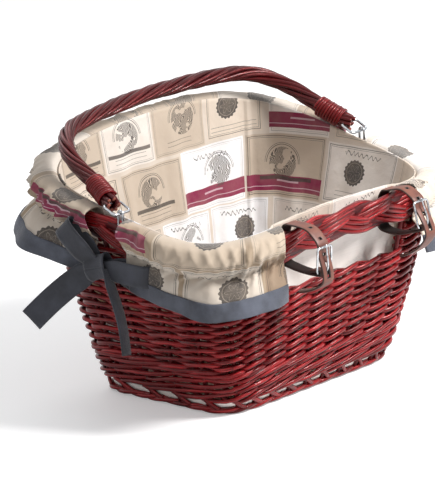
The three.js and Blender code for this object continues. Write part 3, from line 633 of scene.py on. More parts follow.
red = willow("willow", "2c0407", "7c0f14", "c43236", 0.27)
# A darker copy of the willow: painted shade for the stakes behind the weave, the base underneath and the
# rim's core.
dark = willow("willow shaded copy", "22050a", "450c0e", "651316", 0.42)
bound = willow("willow binding", "340608", "620e12", "8c2022", 0.28)
handle_red = willow("willow handle", "1e0406", "3d090c", "661316", 0.27)
pale_fills = ("e3d5c5", "f1eae3", "f9f8f9", "e5d8ca", "f1e9e1", "d0c0ae")
# The tan fills are a darker copy of the pale ones: painted shade for the left and back flaps.
shaded_tan_fills = ("b39b82", "cab9a5", "d8cdc0", "a99177", "bfab94", "97806a")
cotton = print_material("printed cotton", pale_fills, "e0d4c7", 0.5)
shaded_flap_cotton = print_material("printed cotton shaded tan", shaded_tan_fills, "aa967f", 0.66)
cream = plain_cotton()
slate = ribbon_material("slate ribbon", "27282e", "3b3d46")
hem_tape = ribbon_material("slate tape", "393b43", "565a66")
leather = leather_material()
chrome = metal_material("chrome", "d6d9dd", 0.08)
steel = metal_material("steel wire", "c2c5c9", 0.2)
cut_willow = cut_wood()


# Woven body

def stake_span(start=None, end=None):
    """Numbers counting the stakes, from start to end or once round, twelve to a space, and directions."""
    closed = start is None
    low, high = (stakes[0], stakes[0] + TURN) if closed else (start, end)
    count = max(int((stake_count(high) - stake_count(low)) * 12), 4)
    k = np.linspace(stake_count(low), stake_count(high), count + 1)
    k = k[:-1] if closed else k
    known = np.concatenate([stakes - TURN, stakes, stakes + TURN, [stakes[0] + 2 * TURN]])
    return k, np.interp(k, np.arange(-STAKES, 2 * STAKES + 1), known)


def lay_rod(mesh, k, phi, z, offset, radius, closed=True):
    """Rod in the wall with small random bends and changes of thickness."""
    seed = new_seed()
    path = wall(phi, z + 0.35 * wave(k, 2.3, seed + 1), offset + 0.35 * wave(k, 3.1, seed))
    mesh.rod(path, radius * (1 + 0.08 * wave(k, 5.0, seed + 2)), outward(phi), closed, 0.94)


def twined_row(mesh, z_of, start=None, end=None):
    """Two rods that twist about each other, one before each stake and the other behind it, with k counting
    the stakes: offset = +-3.5 tanh(1.7 cos(pi k)) / tanh(1.7), height = row +- 2.8 sin(pi k + 0.5)."""
    k, phi = stake_span(start, end)
    for sign in (1, -1):
        swing = np.tanh(1.7 * np.cos(PI * k)) / math.tanh(1.7)
        height = z_of(phi) + sign * WEAVER_RISE * np.sin(PI * k + 0.5)
        lay_rod(mesh, k, phi, height, sign * WEAVER_SWING * swing, WEAVER, start is None)


def waled_row(mesh, z_of, turn):
    """Three rods, each before two stakes while it climbs one row, then down behind the third: u runs
    from 0 to 3 stakes, height = row + 12.6 (u / 2.1 - 1/2) and back, offset = 4.6 sin(pi u / 2.1)^0.8."""
    k, phi = stake_span()
    for strand in range(3):
        u = (k * 3 * round(STAKES / 3) / STAKES + strand + turn) % 3
        front, back = u / WALE_FRONT, (u - WALE_FRONT) / (3 - WALE_FRONT)
        climb = np.where(front < 1, front, 1 - ease(0.0, 1.0, back))
        out = WALE_OUT * np.sin(PI * front).clip(0, 1) ** 0.8
        behind = WALE_IN * np.sin(PI * back).clip(0, 1) ** 0.7
        height = z_of(phi) + WALE_PITCH * (climb - 0.5) + 0.8 * wave(k, 2.6, new_seed())
        lay_rod(mesh, k, phi, height, np.where(front < 1, out, -behind), WALE_ROD)


def row_height(z0):
    """Rows sag slightly towards the short ends, as the rim does."""
    def height(phi):
        x, y, _ = np.moveaxis(wall(phi, z0), -1, 0)
        level = z0 / 200
        return z0 - RIM_DIP * 0.3 * level * (2 * x / RIM_LENGTH) ** 2 + 0.03 * level * y
    return height


def build_side_weave():
    """Twined rows from the waling up to the rim; those level with the slot end at its two posts."""
    mesh = Mesh()
    left, right = (phi_at_x(side * (SLOT_LENGTH / 2 + 2), slot_bottom + 10) for side in (-1, 1))
    fine = np.linspace(right, right + TURN, 1441)
    for row in range(-9, 10):
        z_of = row_height(TOP_ROW + ROW_PITCH * row)
        room = rim_low(fine) - z_of(fine) > 0
        if row <= 0 and room.all():
            twined_row(mesh, z_of)
            continue
        number = np.flatnonzero(room & (fine < left + TURN))
        for piece in np.split(number, np.flatnonzero(np.diff(number) > 1) + 1):
            if len(piece) > 24:
                twined_row(mesh, z_of, fine[piece[0]], fine[piece[-1]])
    return mesh.build("weave_rods", red)


def build_stakes():
    """Stakes, and a post at each end of the slot."""
    mesh = Mesh()

    def stand(phi, low, high, samples, offset, radius):
        path = wall(phi, np.linspace(low, high, samples), offset)
        mesh.tube(path, radius, [-math.sin(phi), math.cos(phi), 0], tone=chance())

    for phi in stakes:
        in_slot = phi < 0 and abs(wall(phi, slot_bottom)[0]) < SLOT_LENGTH / 2
        stand(phi, 7, slot_bottom - 6 if in_slot else rim_low(phi) + 6, 18, 0.0, STAKE_ROD)
    for side in (-1, 1):
        phi = phi_at_x(side * (SLOT_LENGTH / 2 + 1), slot_bottom + 20)
        stand(phi, slot_bottom - 12, rim_low(phi) + 8, 14, 0.5, POST_ROD)
    # The stakes take the darker copy of the willow, as painted shade.
    return mesh.build("stake_rods", dark)


def build_wale():
    mesh = Mesh()
    for row in range(3):
        waled_row(mesh, row_height(WALE_LOW + WALE_PITCH * row), 2.0 * row)
    return mesh.build("wale_rods", red)


def build_foot():
    """Low rope border of three strands, and the stakes' lower ends, which bend over into it with a hole
    between two."""
    mesh = Mesh()
    phi = np.linspace(-PI, PI, 421)[:-1]
    place = wall(phi, FOOT_LINE)
    length = np.cumsum(np.linalg.norm(np.roll(place, -1, 0) - place, axis=1))
    share = (length - length[0]) / length[-1]
    for k in range(3):
        angle = TURN * (FOOT_TURNS * share + k / 3)
        seed = new_seed()
        z = FOOT_LINE + 1.4 * np.sin(angle) + 0.3 * wave(share * 1000, 60, seed)
        path = wall(phi, z, 0.8 + 2.8 * np.cos(angle))
        mesh.rod(path, FOOT_ROD * (1 + 0.06 * wave(share * 1000, 90, seed + 1)), outward(phi))
    share = np.linspace(0, 1, 12)
    for phi, space in zip(stakes, np.diff(np.append(stakes, stakes[0] + TURN))):
        path = wall(phi + space * (-0.2 + 0.62 * share), 17 - 11.5 * ease(-0.1, 1.1, share), 1.8 + share)
        mesh.tube(path, STAKE_ROD, [math.cos(phi), math.sin(phi), 0], tone=chance(), flatten=0.8)
    return mesh.build("foot_rods", red)


def build_base():
    """Woven base: rods along X that pass over and under nine pairs of sticks along Y."""
    mesh = Mesh()
    gap, middle = 5.2, 5.0
    for y in np.arange(-78, 79, gap):
        half = 125 * (1 - abs(y / 86) ** 8) ** (1 / 8)
        x = np.linspace(-half, half, 60)
        z = middle + 2.4 * np.cos(TURN * x / 52 + PI * round(y / gap))
        mesh.tube(vectors(x, y, z), BASE_ROD, UP, 7, tone=chance())
    y = np.linspace(-80, 80, 20)
    for x in np.arange(-104, 105, 26):
        for side in (-1, 1):
            mesh.tube(vectors(x + side * gap / 2, y, middle), BASE_ROD, UP, 7, tone=0.2)
    # The base takes the darker copy of the willow, as painted shade.
    return mesh.build("base_rods", dark)


def build_rim():
    """Three-strand flat plait of four rods to a strand: height 9.6 sin(t), depth 3.9 sin(2t)."""
    mesh = Mesh()
    phi, along, whole = rim_line(640)
    for strand in range(3):
        t = TURN * (PLAIT_WAVES * along / whole + strand / 3)
        slope = PLAIT_HEIGHT * np.cos(t) * TURN * PLAIT_WAVES / whole
        for rod in range(4):
            shift = (rod - 1.5) * PLAIT_PITCH * (0.78 + 0.22 * np.abs(np.cos(t)))
            seed = new_seed()
            height = PLAIT_HEIGHT * np.sin(t) + shift / np.sqrt(1 + slope ** 2) + 0.35 * wave(along, 85, seed)
            depth = PLAIT_DEPTH * np.sin(2 * t) + 0.5 * wave(along, 70, seed + 1) - 0.05 * (shift ** 2) / 8
            path = below_rim(phi, RIM_BAND / 2 - height, depth)
            mesh.rod(path, PLAIT_ROD * (1 + 0.05 * wave(along, 120, seed + 2)), outward(phi))
    return mesh.build("rim_rods", red)


def build_rim_core():
    """Dark rods inside the plait, so that no light shows through it; their dark colour is painted shade in
    the plait's gaps.
    """
    mesh = Mesh()
    phi = rim_line(200)[0]
    for level in (-10, 0, 10):
        mesh.tube(below_rim(phi, RIM_BAND / 2 - level), 4.6, outward(phi), closed=True, tone=0.1, flatten=0.4)
    return mesh.build("rim_core", dark)


# Handle

def handle_points():
    """Line of the handle in its own plane: x across, y away from the hinge."""
    half = [(PIVOT_X - 1, HANDLE_END), (PIVOT_X - 6, 26), (PIVOT_X - 11, 44), (HANDLE_WAIST + 1, 68),
            (HANDLE_WAIST - 4, 93), (HANDLE_WAIST - 17, 116), (HANDLE_WAIST - 39, HANDLE_HEIGHT - 15),
            (HANDLE_WAIST - 78, HANDLE_HEIGHT - 6), (HANDLE_WAIST - 130, HANDLE_HEIGHT - 1.5)]
    left = [(-x, h, 0) for x, h in half]
    right = [(x, h, 0) for x, h in reversed(half)]
    return even(spline([*left, (0, HANDLE_HEIGHT, 0), *right], 24), HANDLE_STEP)


def raised(directions):
    """Directions in the handle's own plane, turned up from level by the rest angle."""
    c, s = math.cos(HANDLE_REST), math.sin(HANDLE_REST)
    return directions @ np.array([[1, 0, 0], [0, c, s], [0, -s, c]])


def wound(line, angle, radius):
    """Path round a line of the handle's plane, in its place, and its directions away from the line."""
    side = np.cross(heading(line), UP)
    facing = np.cos(angle)[:, None] * side + np.sin(angle)[:, None] * UP
    return PIVOT + raised(line + radius[:, None] * facing), raised(facing)


def build_handle():
    """Nine rods laid in a rope round a core: one turn in 190 mm; their cut ends stand out unevenly."""
    mesh, ends = Mesh(), Mesh()
    line = handle_points()
    length = HANDLE_STEP * np.arange(len(line))
    near_end = 1 - ease(0, 30, np.minimum(length, length[-1] - length))
    for k in range(HANDLE_RODS):
        seed = 40 + k
        angle = TURN * (length / HANDLE_LAY + k / HANDLE_RODS) + 0.12 * wave(length, 140, seed)
        spread = HANDLE_SPREAD + 0.25 * wave(length, 90, seed + 50) + 0.5 * near_end
        radius = HANDLE_ROD * (1 + 0.05 * wave(length, 110, seed + 90))
        keep = slice(int(chance(4)), len(line) - int(chance(4)))
        path, facing, radius = (v[keep] for v in (*wound(line, angle, spread), radius))
        mesh.rod(path, radius, facing, closed=False)
        for point, inner in ((path[0], path[3]), (path[-1], path[-4])):
            out = unit(point - inner)
            ends.tube([point - 0.3 * out, point + 0.15 * out], [2.35, 2.2], [0.3, 0.5, 0.8], tone=0.6)
    mesh.tube(PIVOT + raised(line[4:-4]), 4.2, raised(UP), tone=0.1)
    return mesh.build("handle_rods", handle_red), ends.build("handle_cut_ends", cut_willow)


def build_binding(side, word):
    """Thin rod wound nine times round the handle's end."""
    mesh = Mesh()
    line = handle_points()[::-side]
    length = HANDLE_STEP * np.arange(len(line))
    t = np.linspace(0, 1, 420)
    centre = vectors(*(np.interp(BINDING_START + BINDING_LENGTH * t, length, column) for column in line.T))
    radius = BINDING_RADIUS + 0.25 * wave(t * 100, 22, 5 + side)
    path, facing = wound(centre, TURN * BINDING_TURNS * t + 0.6, radius)
    mesh.tube(path, BINDING_ROD, facing, tone=0.7)
    return mesh.build(f"binding_rod_{word}", bound)


def build_link(side, word):
    """Rounded wire rectangle from the rod's hole to the staple's arch."""
    path = wire_rectangle(LINK_HALF, LINK_HOLE, 4, 9, 1.2) + [side * LINK_X, 0, 0]
    mesh = Mesh()
    mesh.tube(PIVOT + raised(path), LINK_WIRE / 2 - 0.1, raised(UP), 10, True)
    return mesh.build(f"link_wire_{word}", steel)


def build_staple(side, word):
    bend = LINK_WIRE / 2 + 0.45 + STAPLE_WIRE / 2
    a = np.linspace(PI, 0, 15)
    arch = vectors(0.0, bend * np.cos(a), bend * np.sin(a))
    low = -PIVOT_RISE - STAPLE_LEG
    path = PIVOT + [side * PIVOT_X, 0, 0] + np.vstack([[0, -bend, low], arch, [0, bend, low]])
    mesh = Mesh()
    mesh.tube(even(path, 1.5), STAPLE_WIRE / 2, [1, 0, 0], 10)
    return mesh.build(f"staple_wire_{word}", steel)


# Liner

tuck_left = (FLAP_LEFT_EDGE - 1, STRAP_X["left"] - STRAP_WIDTH / 2 - 3)
tuck_right = (STRAP_X["right"] + STRAP_WIDTH / 2 + 3, FLAP_RIGHT_EDGE + 1)


def liner_offset(phi, z):
    """The bag keeps a small gap to the wall, and a larger one behind the straps and the slot."""
    x, y, _ = np.moveaxis(below_rim(phi, 0, -LINER_TUCK), -1, 0)
    zone = np.where(y > 0, 0, ease(*tuck_left, x) * (1 - ease(*tuck_right, x)))
    high = ease(rim_low(phi) - SLOT_HEIGHT - 40, rim_low(phi) - 10, z)
    return -mix(LINER_GAP, LINER_TUCK, zone * high)


def build_bag():
    """Hung bag: the wall's own surface moved in, with slack folds that grow between base and rim. Its
    bottom is the lowest ring drawn together, and its hem is a near-white ring of cloth in the holes of the
    foot, painted light that stands in for the brightness seen through them."""
    phi, along, _ = rim_line(520)
    share = np.linspace(0, 1, 60)[:, None] ** 0.9
    z = mix(BAG_LOW, rim_top(phi) + LINER_TOP, share)
    folds = 1.3 * wave(along + 14 * share, 74, 3) + 0.7 * wave(along - 25 * share, 31, 4)
    seam = np.exp(-((along - np.interp(0.66, phi, along)) / 2.2) ** 2)
    offset = (liner_offset(phi, z) - 0.6 + (folds * np.sin(PI * share) ** 0.7).clip(-3.0, 1.0)
              + 5.0 * (1 - ease(0, 0.05, share)) - 2.0 * seam)
    points = wall(phi, z, offset)
    # The cloth behind the slot is unprinted
    half = SLOT_LENGTH / 2
    x, y = points[..., 0], points[..., 1]
    behind_slot = (ease(-half - 8, -half + 4, x) * (1 - ease(half - 4, half + 8, x)) * (y < 0)
                   * ease(slot_bottom - 22, slot_bottom - 12, z) * (1 - ease(slot_top + 4, slot_top + 14, z)))
    bag, bottom, hem = Mesh(), Mesh(), Mesh()
    bag.grid(points, vectors(along / 100, (z - 13) / 88), tone=0.5 + 0.5 * behind_slot, wrap_v=True)
    # Near-white hem cloth in the holes of the foot: painted light standing in for the brightness seen through
    # them.
    hem.grid(wall(rim_line(300)[0], np.linspace(7.0, 14.0, 4)[:, None], -0.8), wrap_v=True)
    shrink = np.linspace(1, 0.02, 12)[:, None]
    floor = points[0] * vectors(shrink, shrink, 1.0)
    bottom.grid(floor, floor[..., :2] / 100, wrap_v=True, caps=(-1,))
    return (bag.build("bag_cloth", cotton, thickness=BAG_CLOTH),
            bottom.build("bag_bottom", cotton, thickness=BAG_CLOTH),
            hem.build("bag_hem_painted_light", cream, thickness=HEM_CLOTH))


def flap_lean(phi, drop):
    """Offset of the hanging flap, which stands out more at the corners."""
    x, y, _ = np.moveaxis(below_rim(phi, 0), -1, 0)
    corner = np.minimum((2 * x / RIM_LENGTH * 2 * (y - RIM_SHIFT) / RIM_DEPTH) ** 2 / 0.5, 1)
    upper = np.minimum(drop, FLAP_DROP) - 29
    lower = np.maximum(drop - FLAP_DROP, 0)
    flared = CORNER_FLARE * corner * ease(0, 60, -x) * ease(0, 40, y) * ease(29, TRIM_DROP, drop)
    return 10.8 + upper * (0.3 + 0.35 * corner) + lower * (0.15 + 0.2 * corner) + flared


def flap_section(phi):
    """Offset and height of the folded-over cloth: over the crest, puffed, drawn in at -29, flared."""
    puff = 1 - 0.2 * ease(60, 160, below_rim(phi, 0)[..., 0])
    rows = [(-9.0, -6), (-8.2, 1.0), (-3.5, 4.6), (4.5, 4.8), (12.6 * puff, 1.2), (17.2 * puff, -6.5),
            (18.6 * puff, -15), (15.6 * puff, -23.5), (10.2, -29), (11.4, -33)]
    rows += [(flap_lean(phi, drop) + 0.6, -drop) for drop in (41, FLAP_DROP, 62, TRIM_DROP)]
    return np.stack([vectors(offset + 0 * phi, height) for offset, height in rows])


def sharp(w):
    """Turns a smooth wave into folds with narrow crests."""
    return 1 - 2 * np.abs(w).clip(0, 1) ** 0.8


def flap_surface(start, end, t0, t1, steps, proud=0.0):
    """Points (rows, columns, 3) of the folded flap between two section numbers, and its UV."""
    fine = np.linspace(start, end, 1500)
    length = distances(below_rim(fine, 20))
    along = np.linspace(0, length[-1], int(length[-1] / 1.7))
    phi = np.interp(along, length, fine)
    section = flap_section(phi)
    t = np.linspace(t0, t1, steps)
    low = np.clip(np.floor(t).astype(int), 0, len(section) - 2)
    f = (t - low)[:, None, None]
    before, after = section[np.maximum(low - 1, 0)], section[np.minimum(low + 2, len(section) - 1)]
    a, b = section[low], section[low + 1]
    curve = 0.5 * (2 * a + (b - before) * f + (2 * before - 5 * a + 4 * b - after) * f ** 2
                   + (3 * a - before - 3 * b + after) * f ** 3)
    offset, height = curve[..., 0], curve[..., 1]
    # Short folds at the drawn-in line, soft puffs over the crest and broad pleats below
    level = t[:, None]
    under = level - 8
    around = along + 900 * start
    pinch = np.exp(-(under / np.where(level < 8, 2.9, 1.9)) ** 2)
    crest = np.exp(-((level - 4.6) / 2.2) ** 2)
    skirt = ease(8.4, 12.5, level)
    uneven = 0.75 + 0.35 * wave(around, 95, 19, 3, 0.4)
    puffed = uneven * ease(3.4, 6.0, level) * (1 - ease(8.6, 10.6, level))
    folds = (3.6 * uneven * pinch * sharp(wave(around + 2 * under, 38, 11, 4, 0.4))
             + 1.8 * crest * wave(around + 5 * level, 40, 12, 5, 0.4)
             + 1.2 * crest * sharp(wave(around - 3 * level, 23, 14, 5, 0.4))
             + 3.4 * puffed * sharp(wave(around + 8 * under, 40, 18, 4, 0.4))
             + 2.2 * skirt * wave(around + 5 * level, 60, 13, 4, 0.35)
             + 1.3 * skirt * (1 - ease(9.5, 12, level)) * wave(around - 4 * level, 22, 15, 4, 0.35))
    least = np.where(level > 5, 9.6 - 0.02 * (level - 5), -99)
    offset = np.maximum(offset + folds * ease(1.5, 3.2, level) + 0.6, least)
    z = rim_top(phi) + height + 0.6 * skirt * wave(around, 120, 16, 4)
    points = wall(phi, np.minimum(rim_top(phi), z), offset + proud)
    points[..., 2] = z
    down = distances(points[:, len(phi) // 2])[:, None]
    return points, vectors(around / 100, -(down + 20) / 100)


def build_flap(name):
    """Flap and the tape along its hem; the left and back flaps take a darker tan copy of the printed cloth as
    painted shade, and the right one has the paler cloth.
    """
    front, slit = rim_top(-PI / 2), SLIT_FRONT + SLIT_COVER
    start, end = {"left": (phi_at_y(slit, -1), TURN + phi_at_x(FLAP_LEFT_EDGE, front)),
                  "back": (phi_at_y(SLIT_BACK, 1), phi_at_y(SLIT_BACK, -1)),
                  "right": (phi_at_x(FLAP_RIGHT_EDGE, front), phi_at_y(slit, 1))}[name]
    rows = 74
    cloth, uv = flap_surface(start, end, 0.0, CLOTH_END, rows)
    # The cloth is paler over the crest, where the turn over the rim faces up: painted light.
    crest_light = 0.5 + 0.1 * (1 - ease(1.5, 4.5, np.linspace(0.0, CLOTH_END, rows)))[:, None]
    flap, band = Mesh(), Mesh()
    flap.grid(cloth, uv, tone=crest_light)
    band.grid(*flap_surface(start, end, TAPE_START, TAPE_END, 14, proud=0.7))
    # Painted shade: the left and back flaps take the darker tan copy of the cloth.
    material = cotton if name == "right" else shaded_flap_cotton
    return (flap.build(f"flap_{name}_cloth", material, thickness=FLAP_CLOTH),
            band.build(f"flap_{name}_tape", hem_tape, thickness=TAPE))


# Ribbon bows

def ribbon(mesh, path, across, width, crown=0.0, columns=9):
    """Tape along a path, laid out along the across directions; crown bows its middle out."""
    along = heading(path)
    across = unit(across - (across * along).sum(1, keepdims=True) * along)
    normal = np.cross(along, across)
    v = np.linspace(-0.5, 0.5, columns)
    place = np.broadcast_to(width, len(path))[:, None] * v
    points = (path[:, None] + place[..., None] * across[:, None]
              + crown * (1 - 4 * v ** 2)[:, None] * normal[:, None])
    mesh.grid(points, vectors(distances(path)[:, None] / 100, place / 100))


def bow_loop(mesh, knot, towards, face, length, swell, width, droop=0.0):
    """Flattened loop: out along the direction and back, square end, pinched at the knot."""
    towards = unit(np.array(towards, float))
    face = unit(face - towards * np.dot(face, towards))
    outline = [(2, 0.25), (0.3 * length, 0.6), (0.62 * length, 0.75), (0.93 * length, 0.62), (length, 0.28),
               (0.98 * length, -0.12), (0.7 * length, -0.35), (0.35 * length, -0.35), (2, -0.2)]
    path = even(spline([(d, s * swell) for d, s in outline], 12), 1.8)
    out = path[:, :1]
    where = knot + out * towards + path[:, 1:] * face - droop * (out / length) ** 2 * UP
    narrow = mix(0.55, 1.0, ease(0, 0.45 * length, out[:, 0]))
    ribbon(mesh, where, np.cross(towards, face), width * narrow, crown=0.4)


def build_bow(side, word):
    phi = phi_at_y(BOW_Y, side)
    knot = below_rim(phi, BOW_DROP, BOW_OUT)
    out = np.array([side, 0.0, 0.0])
    mesh = Mesh()
    bow_loop(mesh, knot, (0.12 * side, 0.70, 0.71), out, 60, 11, 26)
    bow_loop(mesh, knot, (-0.14 * side, -0.99, 0.0), out, 64, 11, 24, droop=3)
    # Tails: one wide on its face to the back, the other nearly edge-on
    t = np.linspace(0, 1, 40)
    fall, narrow = 0.55 * t + 0.45 * t ** 2, mix(0.6, 1, ease(0, 0.35, t))
    back = knot + vectors(side * (28 * t ** 2 + 2 * np.sin(PI * t)), 76 * t, -65 * fall)
    ribbon(mesh, back, np.array([0.2 * side, 0.72, 0.66]), 27 * narrow, crown=1.0)
    front = knot + vectors(side * (5 + 5 * t ** 2 + 1.5 * np.sin(TURN * t)), -12 - 30 * t, -88 * fall)
    ribbon(mesh, front, np.array([0.93 * side, -0.36, 0]), 23 * narrow, crown=-1.2)
    # Knot: a turn of tape round the middle, folded
    a = np.linspace(0, TURN, 40)
    ring = knot + vectors(side * (1 + 9.0 * np.cos(a)), 10.5 * np.sin(a) * 0.35, 14 * np.sin(a))
    ribbon(mesh, ring, np.array([0, 0.96, -0.25]), 27 + 2 * np.cos(a), crown=-2.0, columns=11)
    # Tape between the two flaps, drawn to the knot
    span = np.linspace(phi_at_y(SLIT_BACK, side), phi_at_y(SLIT_FRONT, side), 30)
    share = np.linspace(-1, 1, 30)
    drop = 62 - 7 * np.exp(-((share * 1.9) ** 2))
    lean = flap_lean(span, 62.0) + 1 + 4 * np.exp(-((share * 1.7) ** 2))
    top, low = below_rim(span, drop - 10, lean - 1.5), below_rim(span, drop + 10, lean + 1)
    strip = mix(top, low, np.linspace(0, 1, 7)[:, None, None])
    mesh.grid(strip, vectors(np.linspace(0, 0.5, 30), np.linspace(0, 0.2, 7)[:, None]))
    return mesh.build(f"bow_ribbon_{word}", slate, thickness=RIBBON)


# Leather straps and buckles, drawn in a section through the rim: q runs outwards, z up, w along the rim

def lifted(q, z, degrees):
    a = math.radians(degrees)
    return np.array([q * math.cos(a) - z * math.sin(a), q * math.sin(a) + z * math.cos(a)])


def seated(name, points):
    """From (q, z, w) to the strap's place on the rim."""
    phi = phi_at_x(STRAP_X[name], rim_top(-PI / 2))
    seat = below_rim(phi, RIM_BAND / 2)
    return seat + vectors(-points[..., 2], -points[..., 0], points[..., 1])


def at_buckle(name, points):
    """From (d, s, w) to (q, z, w): d stands out from the buckle's heel bar, s runs up its frame."""
    heel, top = lifted(42, -25, STRAP_LIFT[name]), lifted(44, 3, STRAP_LIFT[name])
    up = unit(top - heel)
    points = np.asarray(points, float)
    d, s, w = points[..., 0], points[..., 1], points[..., 2]
    return vectors(heel[0] + d * up[1] + s * up[0], heel[1] - d * up[0] + s * up[1], w)


def strap_path(name):
    layer = BUCKLE_WIRE / 2 + 0.3 + LEATHER / 2
    behind = -16 / 2 - 2.3 - LEATHER / 2

    def turned(*points):
        """Each point lifted by a share of the strap's angle."""
        return [(*lifted(q, z, STRAP_LIFT[name] * share), 0) for q, z, share in points]

    def in_buckle(*points):
        return at_buckle(name, [(d, s, 0) for d, s in points])

    turn = np.radians(100 - 25 * np.arange(9))
    return np.vstack([
        turned((29, -24.4, 1), (35.5, -23.6, 1)),
        in_buckle(*zip(layer * np.cos(turn), layer * np.sin(turn))),
        turned((35.5, -27.8, 1), (28, -27.9, 1), (14, -27, 0.7), (1, -25, 0.2), (-9.5, -22, 0),
               (behind - 1.4, -14, 0), (behind, 0, 0), (behind + 2.6, 14, 0), (-4.5, 20.6, 0),
               (3, 21.4, 0.3), (13, 21.6, 0.7), (27, 19, 1), (36, 12, 1)),
        in_buckle((-layer - 0.1, BUCKLE_REACH + 2), (-layer + 1.3, 20), (2.6, 10), (5.6, 0), (5.4, -9)),
        turned((36, -42.5, 0.8), (22, -48, 0.6), (8, -51.5, 0.4))])


def close_ends(thing):
    """Fills the open ends of a strip."""
    work = bmesh.new()
    work.from_mesh(thing.data)
    bmesh.ops.holes_fill(work, edges=[e for e in work.edges if e.is_boundary], sides=0)
    bmesh.ops.recalc_face_normals(work, faces=work.faces)
    work.to_mesh(thing.data)
    work.free()


def apply_modifiers(thing):
    depsgraph = bpy.context.evaluated_depsgraph_get()
    made = bpy.data.meshes.new_from_object(thing.evaluated_get(depsgraph))
    thing.modifiers.clear()
    thing.data = made


def build_strap(name):
    """Strap once round the rim and through the buckle, with punched holes and the slot for the prong."""
    line = even(spline(strap_path(name), 10), 1.0)
    along = heading(line)
    normal = vectors(-along[:, 1], along[:, 0], 0.0)
    length = distances(line)
    to_tip = length[-1] - length
    half = STRAP_WIDTH / 2 * np.minimum(1, 0.35 + 0.65 * np.sqrt(np.clip(to_tip / 9, 0, 1)))
    # Section: a flat strip with round edges; positive h is the grain side
    w = np.array([-1, -0.97, -0.85, -0.4, 0.4, 0.85, 0.97, 1, 0.97, 0.85, 0.4, -0.4, -0.85, -0.97])
    h = np.array([0, 0.7, 1, 1, 1, 1, 0.7, 0, -0.7, -1, -1, -1, -1, -0.7]) * LEATHER / 2 * 0.96
    points = line[:, None] + h[:, None] * normal[:, None] + (half[:, None] * w)[..., None] * UP
    # Tone 1 on the grain side, 0.35 on the burnished edges and 0 on the flesh side, whose near-black colour
    # is painted shade; the tail's flesh side, which shows, keeps most of the leather colour.
    shade = np.where(h > LEATHER * 0.4, 1.0, np.where(h < -LEATHER * 0.4, 0.0, 0.35))
    tone = np.where((to_tip < 36)[:, None] & (h < 0), 0.8, shade)
    mesh, cutter = Mesh(), Mesh()
    mesh.grid(seated(name, points), vectors(length[:, None] / 100, w * 0.08), tone=tone, wrap_v=True)
    strap = mesh.build(f"strap_leather_{name}", leather)
    close_ends(strap)
    for share in (0.585, 0.65, 0.715, 0.93):
        k = int(share * (len(line) - 1))
        cutter.tube(seated(name, line[k] + np.outer((-4, 4), normal[k])), 1.7, [1, 0, 0], 16)
    box = [[(d, -4.8, -2.2), (d, -4.8, 2.2), (d, 11.8, 2.2), (d, 11.8, -2.2)] for d in (-4.7, 8.5)]
    cutter.grid(seated(name, at_buckle(name, box)), wrap_v=True, caps=(0, -1))
    tool = cutter.build("punch", leather)
    close_ends(tool)
    holes = strap.modifiers.new("holes", "BOOLEAN")
    holes.operation = "DIFFERENCE"
    holes.solver = "EXACT"
    holes.object = tool
    apply_modifiers(strap)
    bpy.data.objects.remove(tool)
    strap.data.polygons.foreach_set("use_smooth", np.full(len(strap.data.polygons), True))
    return strap


def build_buckle(name):
    """Wire frame with rounded corners, and its prong with an eye round the heel bar."""
    def wire(path):
        return seated(name, at_buckle(name, path))

    mesh, prong = Mesh(), Mesh()
    facing = wire((1, 0, 0)) - wire((0, 0, 0))
    frame_path = wire_rectangle(BUCKLE_HALF, BUCKLE_REACH, 3.5, 8, 1.0)[:, ::-1]
    mesh.tube(wire(frame_path), BUCKLE_WIRE / 2, facing, 12, True)
    a = np.linspace(0, TURN, 25)[:-1]
    prong.tube(wire(2.1 * vectors(np.cos(a), np.sin(a), 0.0)), 0.75, [1, 0, 0], 8, True, flatten=1.9)
    arm = [(2.4, 0.9, 0), (4.6, 4.6, 0), (5.3, 10.5, 0), (3.9, 20, 0), (2.6, 28, 0), (2.3, 31, 0)]
    arm = even(spline(arm, 8), 1.0)
    prong.tube(wire(arm), np.linspace(1.25, 0.95, len(arm)), [1, 0, 0], 10)
    return mesh.build(f"buckle_wire_{name}", chrome), prong.build(f"prong_wire_{name}", chrome)


# Pieces onto the frame

def place(thing, body, slot, *nodes):
    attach(thing, body)
    if nodes:
        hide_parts(*nodes)
    return thing


place(build_side_weave(), "basket", "willow", "side_weave")
place(build_stakes(), "basket", "willow_dark", *[f"stake_{k:02d}" for k in range(1, STAKES + 1)])
place(build_wale(), "basket", "willow", "lower_wale")
place(build_foot(), "basket", "willow", "foot_border")
place(build_base(), "basket", "willow_dark", "base_panel")
place(build_rim(), "basket", "willow", "rim_border")
place(build_rim_core(), "basket", "willow_dark")
rods, cut_ends = build_handle()
place(rods, "handle", "willow", "handle_hoop")
place(cut_ends, "handle", "willow")
for side, word in ((-1, "near"), (1, "far")):
    place(build_binding(side, word), "handle", "willow_dark", f"handle_binding_{word}")
    place(build_link(side, word), "handle", "steel", f"handle_link_{word}")
    place(build_staple(side, word), "basket", "steel", f"rim_staple_{word}")
bag, bottom, hem = build_bag()
place(bag, "basket", "cotton", "liner_bag")
place(bottom, "basket", "cotton")
place(hem, "basket", "cotton")
for name in ("left", "back", "right"):
    flap, trim = build_flap(name)
    place(flap, "basket", "cotton", f"liner_flap_{name}")
    place(trim, "basket", "ribbon", f"liner_trim_{name}")
for side, word in ((-1, "near"), (1, "far")):
    bow = place(build_bow(side, word), "basket", "ribbon", f"bow_{word}")
for name in ("left", "right"):
    place(build_strap(name), f"strap_{name}", "leather", f"strap_{name}")
    buckle, prong = build_buckle(name)
    place(buckle, f"strap_{name}", "chrome", f"buckle_{name}")
    place(prong, f"prong_{name}", "chrome", f"buckle_prong_{name}")


# Stage, light and camera

def level_direction(azimuth, elevation):
    """Direction from the object: azimuth 0 looks from -Y, and grows towards +X."""
    flat = math.cos(elevation)
    return Vector((math.sin(azimuth) * flat, -math.cos(azimuth) * flat, math.sin(elevation)))


